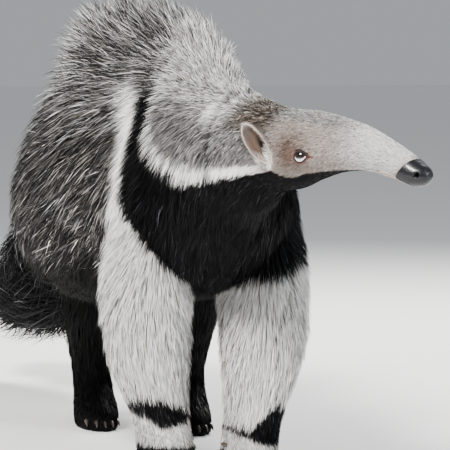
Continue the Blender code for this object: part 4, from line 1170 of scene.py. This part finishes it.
def growBody(name):
    coat, lie = bodyCoats[name], bodyLie
    count, points = coat["count"], coat["points"]
    ahead = scatter(*coat["ahead"], count)
    around = aroundBody(ahead)
    root = bodyPoint(ahead, around, skinLift(ahead, around))
    depth = depthOfCoat(ahead, around)
    onHead = fadeIn(ahead, lie["onHead"])
    base = skinLift(ahead, around) - lie["sunk"]
    tuft = tuftOf(root, coat.get("tuft", lie["tuft"]))
    tuftDraw = draw.normal(0.0, 1.0, (tuft.max() + 1, 3))[tuft]
    # how far the tips stand out
    high, cell = lie["standWave"]
    stands = lie["stands"] + high * noise(root, cell, 7) + lie["tuftStands"] * tuftDraw[:, 0]
    stands = stands + draw.normal(0.0, lie["hairStands"], count)
    stands = np.clip(stands, *lie["standLimits"]) * (1.0 - flattened(ahead, around))
    rise = np.maximum(depth * stands - base, lie["leastRise"])
    least, more = lie["headRise"]
    rise = rise * (1 - onHead) + (least + more * draw.random(count)) * onHead
    # how far they lie back along the body and down round it
    length = lengthOnBody(ahead, around, depth, onHead)
    fall = fallOnBody(ahead, around, root, tuftDraw[:, 1], onHead)
    back, down = length * np.cos(fall), length * np.sin(fall)
    section = np.linalg.norm(root - spineFrame(ahead)[0] - shift, axis=1)
    sign = np.where(around >= 0.0, 1.0, -1.0)
    share = hairShares[points][None]
    a = np.maximum(ahead[:, None] - back[:, None] * share, lie["tailEnd"])
    b = around[:, None] + (sign * down / np.maximum(section, lie["leastRound"]))[:, None] * share
    onBody, onTail = lie["droop"]
    droop = np.where(-ahead > lie["droopFrom"], onTail, onBody)[:, None]
    lift = base[:, None] + rise[:, None] * (1.0 - (1.0 - share) ** droop)
    paths = bodyPoint(a, b, lift)
    outward = unit(bodyPoint(a, b, lift + 0.01) - paths)
    # the tone is the one of the place where the hair's outer part lies
    inner, outer = lie["toneAt"]
    at = inner * a[:, -2] + outer * a[:, -1], inner * b[:, -2] + outer * b[:, -1]
    shade = hairColours(bodyTone(*at, bodyPoint(*at, base)), tuftDraw[:, 2], points)
    keep = np.ones(count, bool)
    if name == "coat_head":
        paths, shade, keep = shapedFace(paths, a, b, shade, ahead)
    else:
        paths = gathered(paths, tuft, coat.get("gather", lie["gather"]))
    width = coat["width"] * draw.uniform(*lie["width"], count)
    roll = draw.normal(0.0, lie["roll"], count)
    strands("anteater_" + name, paths[keep], outward[keep], width[keep], shade[keep],
            bodyUnwrap(ahead, around)[keep], roll[keep])


# where the face stays bare: metres outside the lids, shares of the ear's size, heights over the mouth
barePlaces = {
    "lidsRoot": 0.0034, "lidsTip": 0.0012, "tear": 0.0120, "tearDegrees": 9.0, "upperLid": 0.0032,
    "upperFrom": 0.2, "upperTurn": 10.0, "earRoot": 1.03, "earTip": 0.97, "earNear": 0.03,
    "mouthUnder": -0.0042, "mouthOver": (0.0026, 0.0024, 0.0, 0.02), "mouthFrom": -0.002, "pad": -0.0002,
}


def facePlaces(paths):
    # no hair on or over the lids, in the ears, along the mouth or on the nose pad
    bare = barePlaces
    root, tip = paths[:, 0], paths[:, -1]
    keep = np.ones(len(root), bool)
    for side in (1.0, -1.0):
        for place, lidsBare, earBare in ((root, bare["lidsRoot"], bare["earRoot"]),
                                         (tip, bare["lidsTip"], bare["earTip"])):
            margin, around, _ = lidMargin(place, side)
            tear = np.abs((around + 180.0) % 360.0 - 180.0) < bare["tearDegrees"]
            upper = np.sin(np.radians(around + bare["upperTurn"])) > bare["upperFrom"]
            keep &= margin > np.where(tear, bare["tear"], lidsBare + bare["upperLid"] * upper)
            _, _, rise, inside = earPlace(place, side)
            keep &= (inside > earBare) | (np.abs(rise) > bare["earNear"])
    offset = root - mouthCorner
    run, rise = offset @ mouthAlong, offset @ mouthAbove
    over, more, start, end = bare["mouthOver"]
    lips = (rise > bare["mouthUnder"]) & (rise < over + more * step(run, start, end))
    keep &= ~(lips & (run > bare["mouthFrom"]))
    keep &= (padPlace(root)[0] < bare["pad"]) | (rise < 0.0)
    return keep


legCoats = {
    "foreleg_left": {"count": 32000, "width": 0.0011, "tuft": 0.009, "slot": "foreleg"},
    "foreleg_right": {"count": 32000, "width": 0.0011, "tuft": 0.009, "slot": "foreleg"},
    "hindleg_left": {"count": 17000, "width": 0.0015, "tuft": 0.010, "slot": "hindleg"},
    "hindleg_right": {"count": 20000, "width": 0.0015, "tuft": 0.010, "slot": "hindleg"},
}
# how the legs' hairs lie: shorter, finer and less gathered near the foot
legLie = {
    "heights": (0.006, 0.40, 1.1), "low": (0.05, 0.14), "length": (0.036, 0.016, 0.1, 0.9),
    "lowLength": 0.010, "lengths": (0.7, 1.25), "sweepWave": (0.22, 0.05), "hairSweep": 0.10,
    "shoulderSweep": (0.35, 0.18, 0.34),
    "tuftSweep": 0.10, "overFloor": (0.002, 0.001), "round": 0.06, "stands": 0.85, "standWave": (0.12, 0.02),
    "tuftStands": 0.12, "hairStands": 0.12, "standLimits": (0.25, 1.3), "rise": 0.0012,
    "least": (0.001, 0.0008), "droop": 1.7, "sunk": 0.0008, "most": 0.006, "gather": 0.30,
    "toneAt": (0.3, 0.7), "width": (0.7, 1.3),
    "lowThinner": 0.30, "roll": 0.5,
}


def growLeg(name):
    leg, coat, lie = legs[name], legCoats[name], legLie
    count = coat["count"]
    bottom, high, power = lie["heights"]
    height = bottom + high * draw.random(count) ** power
    around = draw.random(count) * tau
    hair = through(leg["table"], height, 5)
    root = legPoint(leg, height, around, np.zeros(count))
    tuft = tuftOf(root, coat["tuft"])
    tuftDraw = draw.normal(0.0, 1.0, (tuft.max() + 1, 2))[tuft]
    low = fadeOut(height, lie["low"])
    plain, more, start, end = lie["length"]
    length = (plain + more * step(np.sin(around), start, end)) * (1 - low) + lie["lowLength"] * low
    length = length * draw.uniform(*lie["lengths"], count)
    high, cell = lie["sweepWave"]
    more, start, end = lie["shoulderSweep"]
    sweep = noise(root, cell, 9) * high + draw.normal(0.0, lie["hairSweep"], count)
    sweep = sweep + more * step(height, start, end) + lie["tuftSweep"] * tuftDraw[:, 0]
    share = hairShares[3][None]
    over, least = lie["overFloor"]
    drop = np.minimum(length * np.cos(sweep), np.maximum(height - over, least))
    h = height[:, None] - drop[:, None] * share
    turn = length * np.sin(sweep) / lie["round"]
    b = around[:, None] + (turn * np.cos(around))[:, None] * share
    high, cell = lie["standWave"]
    stands = lie["stands"] + high * noise(root, cell, 10) + lie["tuftStands"] * tuftDraw[:, 1]
    stands = stands + draw.normal(0.0, lie["hairStands"], count)
    rise = hair * np.clip(stands, *lie["standLimits"]) + lie["rise"]
    hairThere = through(leg["table"], h.ravel(), 5).reshape(h.shape)
    leastHere, leastThere = lie["least"]
    lift = (rise / np.maximum(hair, leastHere))[:, None] * np.maximum(hairThere, leastThere)
    lift = lift * (1.0 - (1.0 - share) ** lie["droop"]) - lie["sunk"] * (1 - share)
    paths = legPoint(leg, h, b, np.minimum(lift, hairThere + lie["most"]))
    paths = gathered(paths, tuft, lie["gather"] * (1.0 - low)[:, None, None])
    outward = unit(legPoint(leg, h, b, lift + 0.01) - legPoint(leg, h, b, lift))
    inner, outer = lie["toneAt"]
    at = inner * h[:, 1] + outer * h[:, 2], inner * b[:, 1] + outer * b[:, 2]
    shade = hairColours(legTone(name, *at, legPoint(leg, *at, 0.0)), draw.normal(0.0, 1.0, count), 3)
    width = coat["width"] * draw.uniform(*lie["width"], count) * (1.0 - lie["lowThinner"] * low)
    strands("anteater_coat_" + name, paths, outward, width, shade,
            legUnwrap(name, height, around), draw.normal(0.0, lie["roll"], count))


for name in bodyCoats:
    growBody(name)
    print("grew", name)
for name in legCoats:
    growLeg(name)
    print("grew the coat of", name)


# an eye: how far it looks up, its parts in degrees from where it looks, its colours
eyeLook = {
    "raised": 0.62, "iris": 48.0, "irisFade": 4.0, "pupil": 22.0, "pupilFade": 8.0,
    "ring": 0.7, "ringIn": 3.0, "ringWide": 4.0, "pupilColour": (0.003, 0.003, 0.004),
    "irisColour": (0.022, 0.014, 0.010), "whiteColour": (0.68, 0.65, 0.67),
}
eyeShader = shader("anteater_eye", 0.08, attribute="shade", Coat_Weight=1.0, Coat_Roughness=0.03)
lidShader = shader("anteater_lid", 0.34, colour=(0.014, 0.009, 0.008), Specular_IOR_Level=0.22)
# the wet edge of the lids in section: metres beyond the opening, distance from the eye's middle
lidEdge = ((-0.0005, 0.0102), (-0.0004, 0.0111), (0.0001, 0.0116), (0.0008, 0.0119), (0.0018, 0.0117),
           (0.0024, 0.0104))


def buildEye(name, side):
    # a wet dark eye, its white showing under the iris
    middle, out = eyePlace(side)
    bpy.ops.mesh.primitive_uv_sphere_add(segments=96, ring_count=64, radius=lids["eyeball"],
                                         location=middle + shift)
    eye = bpy.context.object
    eye.name = name
    look = unit(out + np.array((0.0, 0.0, eyeLook["raised"])))
    flat = np.empty(len(eye.data.vertices) * 3)
    eye.data.vertices.foreach_get("co", flat)
    away = np.degrees(np.arccos(np.clip(unit(flat.reshape(-1, 3)) @ look, -1.0, 1.0)))
    pupil, iris, white = (np.array(eyeLook[part + "Colour"]) for part in ("pupil", "iris", "white"))
    beyond = step(away, eyeLook["pupil"], eyeLook["pupil"] + eyeLook["pupilFade"])
    shade = pupil + (iris - pupil) * beyond[:, None]
    ring = np.exp(-((away - eyeLook["iris"] + eyeLook["ringIn"]) / eyeLook["ringWide"]) ** 2)
    shade = shade * (1.0 - eyeLook["ring"] * ring)[:, None]
    colours = np.ones((len(away), 4))
    beyond = step(away, eyeLook["iris"], eyeLook["iris"] + eyeLook["irisFade"])
    colours[:, :3] = shade + (white - shade) * beyond[:, None]
    layer = eye.data.color_attributes.new("shade", "FLOAT_COLOR", "POINT")
    layer.data.foreach_set("color", colours.astype(np.float32).ravel())
    eye.data.shade_smooth()
    eye.data.materials.append(eyeShader)
    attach(eye, "root")
    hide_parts(name.replace("anteater_", ""))


def buildLidRim(name, side):
    # smooth wet edge of the lids, round the opening
    middle, out, nose, up = eyeAxes(side)
    turn = np.linspace(0.0, 360.0, 121)[:-1]
    opening = np.interp(turn, lidTurn, lidReach)
    tangent = np.cos(np.radians(turn))[:, None] * nose + np.sin(np.radians(turn))[:, None] * up
    rings = []
    for beyond, radius in lidEdge:
        angle = (opening + beyond) / lids["reachBy"]
        rings.append(middle + (out * np.cos(angle)[:, None] + tangent * np.sin(angle)[:, None]) * radius)
    rings = np.stack(rings)
    index = np.arange(rings.shape[0] * rings.shape[1]).reshape(rings.shape[:2])
    low, high = index, np.roll(index, -1, 0)
    quads = np.stack((low, np.roll(low, -1, 1), np.roll(high, -1, 1), high), -1).reshape(-1, 4)
    rim = addMesh(name, rings.reshape(-1, 3), quads.ravel(), np.full(len(quads), 4))
    rim.data.materials.append(lidShader)
    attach(rim, "root")


for side, word in ((1.0, "left"), (-1.0, "right")):
    buildEye("anteater_eye_" + word, side)
    buildLidRim("anteater_lids_" + word, side)
print("eyes in their lids")


noseShader = shader("anteater_nose", 0.36, colour=(0.010, 0.010, 0.013), bump=(700.0, 0.5, 0.0008),
                    Specular_IOR_Level=0.40, Coat_Weight=0.30, Coat_Roughness=0.12)
noseGrid = {"stations": ((0.536, 0.585, 70), (0.5855, 0.5899, 14)), "sides": 120}


def buildNose():
    # the bare pad, a little outside the skin, with a comma-shaped nostril on each side
    ahead = np.concatenate([np.linspace(*run) for run in noseGrid["stations"]])
    around = np.linspace(-math.pi, math.pi, noseGrid["sides"] + 1)
    a, b = np.meshgrid(ahead, around, indexing="ij")
    points = bodyPoint(a, b, np.full_like(a, nosePad["proud"])).reshape(-1, 3)
    inward = unit(spineFrame(a.ravel())[0] + shift - points)
    points = points + inward * nostrilDepth(points, 1.0)[:, None]
    # faces just over the edge are kept and pulled onto it, so that the edge is smooth
    past, rise = padPlace(points)
    wanted = (past > -nosePad["kept"]) & (rise > nosePad["lip"] - nosePad["kept"])
    points = points + mouthAlong * np.clip(-past, 0.0, nosePad["pulled"])[:, None]
    points = points + mouthAbove * np.clip(nosePad["lip"] - rise, 0.0, nosePad["pulled"])[:, None]
    grid = wanted.reshape(a.shape)
    index = np.arange(a.size).reshape(a.shape)
    quads = np.stack((index[:-1, :-1], index[:-1, 1:], index[1:, 1:], index[1:, :-1]), -1)
    full = grid[:-1, :-1] & grid[:-1, 1:] & grid[1:, 1:] & grid[1:, :-1]
    faces = quads[full]
    front = index[-1, :-1]
    corners = np.concatenate((faces.ravel(), front))
    nose = addMesh("anteater_nose", points, corners, np.concatenate((np.full(len(faces), 4), (len(front),))))
    shape = bmesh.new()
    shape.from_mesh(nose.data)
    bmesh.ops.remove_doubles(shape, verts=shape.verts, dist=1e-6)
    bmesh.ops.delete(shape, geom=[v for v in shape.verts if not v.link_faces], context="VERTS")
    bmesh.ops.recalc_face_normals(shape, faces=shape.faces)
    shape.to_mesh(nose.data)
    shape.free()
    nose.data.shade_smooth()
    thick = nose.modifiers.new("edge", "SOLIDIFY")
    thick.thickness, thick.offset = nosePad["thick"], -1.0
    nose.data.materials.append(noseShader)
    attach(nose, "root")
    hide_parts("nose")


buildNose()

earShader = shader("anteater_ear", 0.55, attribute="shade", bump=(500.0, 0.3, 0.0008),
                   Specular_IOR_Level=0.25)
# rows of the ear's shell from its back over the rim into the hollow: outwards, share of the width
earRows = ((-0.0148, 0.10), (-0.0140, 0.35), (-0.0118, 0.62), (-0.0082, 0.84), (-0.0040, 0.96),
           (0.0002, 1.00), (0.0022, 0.990), (0.0031, 0.965), (0.0030, 0.93), (0.0020, 0.89),
           (-0.0010, 0.82), (-0.0050, 0.70), (-0.0082, 0.52), (-0.0100, 0.30), (-0.0106, 0.08))
earColours = {
    "back": (0.30, 0.26, 0.23), "rim": (0.52, 0.44, 0.39), "rimRow": 7.0, "rimRows": 1.7,
    "hollow": (0.112, 0.078, 0.060), "hollowRows": (8, 12),
    "grey": (0.100, 0.095, 0.098), "greyUp": (0.006, 0.022), "greyBack": (-0.004, 0.006), "greyShare": 0.8,
    # the ear's opening is painted shade: a near-black spot on the closed shell, with its place, size and
    # strength
    "holeShade": (0.010, 0.006, 0.005), "holeAt": (0.0030, -0.0060), "holeSize": (0.0042, 0.0125), "holeGain": 1.4,
}
# hair on the back and the rim, and inside it, longer at the lower rear edge
earHair = {
    "count": 3400, "width": 0.0006, "roll": 0.4, "rows": (0, 0.45, 0.7, 0.88, 1.0),
    "depths": (-0.013, -0.006, 0.0, 0.0030, -0.0010), "widths": (0.4, 0.9, 1.0, 0.97, 0.82), "bulge": 40.0,
    "lower": (0.004, 0.028), "length": (0.0030, 0.0055), "lengths": (0.7, 1.3), "inner": (0.90, 0.93),
    "innerLonger": 0.5, "outwards": (0.45, 0.9), "upwards": (0.7, 1.5), "backwards": 0.4, "leans": 0.35,
    "arch": 0.0006, "pale": 0.8, "paleRim": (0.2, 0.8, 0.95),
}


def earShade(row, x, y):
    colour = np.tile(np.array(earColours["back"]), (len(x), 1))
    first, last = earColours["hollowRows"]
    if row > first:
        inner = step(row, first, last)
        colour = tinted(colour, earColours["hollow"], np.full(len(x), inner))
        grey = inner * fadeIn(y, earColours["greyUp"]) * fadeIn(-x, earColours["greyBack"])
        colour = tinted(colour, earColours["grey"], grey * earColours["greyShare"])
        # painted shade where the ear's opening would be
        (front, up), (wide, long) = earColours["holeAt"], earColours["holeSize"]
        holeShade = np.exp(-((x - front) / wide) ** 2 - ((y - up) / long) ** 2)
        colour = tinted(colour, earColours["holeShade"], np.minimum(1.0, holeShade * earColours["holeGain"]) * inner)
    pale = np.exp(-((row - earColours["rimRow"]) / earColours["rimRows"]) ** 2)
    return tinted(colour, earColours["rim"], np.full(len(x), pale))


def shellPoint(side, x, y, depth):
    middle, front, upright, out = earFrame(side)
    return middle + front * x[:, None] + upright * y[:, None] + out * (depth + earDrop(y))[:, None]


def buildEar(name, side):
    # a rounded shell with a thin pale rim and painted shade for the ear's opening low in its hollow
    wide, long = earShape["halfWidth"], earShape["halfLength"]
    turn = np.linspace(0.0, tau, 73)
    rings, colours, uvs = [], [], []
    for row, (depth, width) in enumerate(earRows):
        x, y = np.cos(turn) * wide * width, np.sin(turn) * long * width
        rings.append(shellPoint(side, x, y, depth))
        colours.append(earShade(row, x, y))
        uvs.append(earUnwrap(side, x, y))
    rings, colours = np.stack(rings), np.stack(colours)
    shade = np.ones((rings.shape[0], len(turn) - 1, 4))
    shade[..., :3] = colours[:, :-1]
    ear = gridMesh(name, rings[:, :-1], np.stack(uvs), shade.reshape(-1, 4))
    ear.data.materials.append(earShader)
    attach(ear, "root")


def growEar(name, side):
    _, front, upright, out = earFrame(side)
    forward = spineFrame(earShape["ahead"])[2]
    wide, long = earShape["halfWidth"], earShape["halfLength"]
    hair, count = earHair, earHair["count"]
    turn = draw.random(count) * tau
    row = draw.random(count)
    depth = np.interp(row, hair["rows"], hair["depths"])
    width = np.interp(row, hair["rows"], hair["widths"])
    x, y = np.cos(turn) * wide * width, np.sin(turn) * long * width
    start = shellPoint(side, x, y, depth)
    swell = unit(front * (x / wide ** 2)[:, None] + upright * (y / long ** 2)[:, None]
                 + out * (depth * hair["bulge"])[:, None])
    lower = fadeIn(-y, hair["lower"])
    inner = fadeIn(row, hair["inner"])
    plain, more = hair["length"]
    length = (plain + more * lower) * draw.uniform(*hair["lengths"], count)
    length = length * (1.0 + hair["innerLonger"] * inner)
    # on the back the hairs lie up and back, at the lower edge they hang, inside they lean over the hollow
    outwards, lessInside = hair["outwards"]
    upwards, lessBelow = hair["upwards"]
    lay = unit(swell * (outwards - lessInside * inner)[:, None]
               + upright * (upwards - lessBelow * lower * (1.0 - inner))[:, None]
               - forward * (hair["backwards"] * (1.0 - inner))[:, None]
               + out * (hair["leans"] * inner)[:, None])
    share = hairShares[3][None, :, None]
    paths = start[:, None] + lay[:, None] * length[:, None, None] * share
    paths = paths + swell[:, None] * (hair["arch"] * share * (1 - share))
    rim, first, last = hair["paleRim"]
    tone = np.tile(tones["head"], (count, 1))
    tone = laid(tone, "white", lower * hair["pale"] + rim * step(row, first, last))
    shade = hairColours(tone, np.zeros(count), 3)
    strands(name + "_hair", paths, np.repeat(swell[:, None], 3, 1), np.full(count, hair["width"]), shade,
            earUnwrap(side, x, y), draw.normal(0, hair["roll"], count))


for side, word in ((1.0, "left"), (-1.0, "right")):
    buildEar("anteater_ear_" + word, side)
    growEar("anteater_ear_" + word, side)
print("ears and nose")

clawShader = shader("anteater_claw", 0.35, colour=(0.085, 0.070, 0.058), bump=(260.0, 0.2, 0.0008),
                    Coat_Weight=0.2)
clawShape = {"joined": 40.0, "levels": 2, "swollen": 0.0007}  # degrees, subdivisions, metres


def buildClaw(name, node):
    # a rounded copy of the solid's claw, swollen by what the rounding takes away
    claw = bpy.data.objects.new("anteater_" + name, node.data.copy())
    claw.data.transform(node.matrix_world)
    bpy.context.scene.collection.objects.link(claw)
    shape = bmesh.new()
    shape.from_mesh(claw.data)
    bmesh.ops.remove_doubles(shape, verts=shape.verts, dist=1e-5)
    bmesh.ops.join_triangles(shape, faces=shape.faces, angle_face_threshold=math.radians(clawShape["joined"]),
                             angle_shape_threshold=math.pi)
    shape.normal_update()
    normals = [v.normal.copy() for v in shape.verts]
    for v, normal in zip(shape.verts, normals):
        v.co += normal * clawShape["swollen"]
    shape.to_mesh(claw.data)
    shape.free()
    claw.data.shade_smooth()
    rounding = claw.modifiers.new("round", "SUBSURF")
    rounding.levels = rounding.render_levels = clawShape["levels"]
    claw.data.materials.clear()
    claw.data.materials.append(clawShader)
    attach(claw, "root")
    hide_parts(name)


for name, node in list(frame["nodes"].items()):
    if name.startswith("claw"):
        buildClaw(name, node)
print("claws")

# the studio: a pale floor, an even pale sky and three round soft lamps
studio = {"floorColour": (0.93, 0.93, 0.925), "floorSize": 60.0, "sky": (0.86, 0.89, 0.93, 1.0),
          "skyStrength": 0.40}
lamps = {
    "key": {"place": (-1.7, -2.6, 3.0), "aim": (0.0, -0.5, 0.42), "size": 1.1, "power": 250.0,
            "colour": (1.0, 0.975, 0.94)},
    "fill": {"place": (3.2, -2.6, 1.7), "aim": (0.0, -0.2, 0.4), "size": 2.2, "power": 70.0,
             "colour": (0.90, 0.95, 1.0)},
    "rim": {"place": (1.3, 2.6, 2.8), "aim": (0.0, -0.2, 0.5), "size": 1.4, "power": 150.0,
            "colour": (1.0, 0.98, 0.95)},
}
bpy.ops.mesh.primitive_plane_add(size=studio["floorSize"], location=(0.0, 0.0, 0.0))
floor = bpy.context.object
floor.name = "studio_floor"
floor.data.materials.append(shader("studio_floor", 0.95, colour=studio["floorColour"]))

world = bpy.data.worlds.new("studio")
bpy.context.scene.world = world
world.use_nodes = True
world.node_tree.nodes["Background"].inputs["Color"].default_value = studio["sky"]
world.node_tree.nodes["Background"].inputs["Strength"].default_value = studio["skyStrength"]

for name, values in lamps.items():
    lamp = bpy.data.lights.new(name, "AREA")
    lamp.shape, lamp.size, lamp.energy, lamp.color = "DISK", values["size"], values["power"], values["colour"]
    obj = bpy.data.objects.new(name, lamp)
    obj.location = values["place"]
    obj.rotation_euler = (Vector(values["aim"]) - Vector(values["place"])).to_track_quat("-Z", "Y").to_euler()
    bpy.context.scene.collection.objects.link(obj)
print("floor, sky and lamps")

# the photograph's view: degrees, metres, millimetres of lens and sensor
view = {"turn": -12.0, "tilt": 3.45, "distance": 5.05, "aside": 0.03, "height": 0.675, "lens": 268.0,
        "sensor": 36.0, "farEnd": 60.0}
turn, tilt = math.radians(view["turn"]), math.radians(view["tilt"])
look = Vector((-math.sin(turn), math.cos(turn), 0.0))
aside = Vector((math.cos(turn), math.sin(turn), 0.0))
stand = Vector((shift[0], shift[1], view["height"])) - look * view["distance"] + aside * view["aside"]
aim = look * math.cos(tilt) - Vector((0.0, 0.0, math.sin(tilt)))
lens = bpy.data.cameras.new("photo_view")
lens.lens, lens.sensor_width, lens.clip_end = view["lens"], view["sensor"], view["farEnd"]
camera = bpy.data.objects.new("photo_view", lens)
camera.location = stand
camera.rotation_euler = aim.to_track_quat("-Z", "Y").to_euler()
bpy.context.scene.collection.objects.link(camera)
bpy.context.scene.camera = camera

bpy.context.scene.view_settings.view_transform = "AgX"
bpy.context.scene.view_settings.look = "AgX - Medium High Contrast"
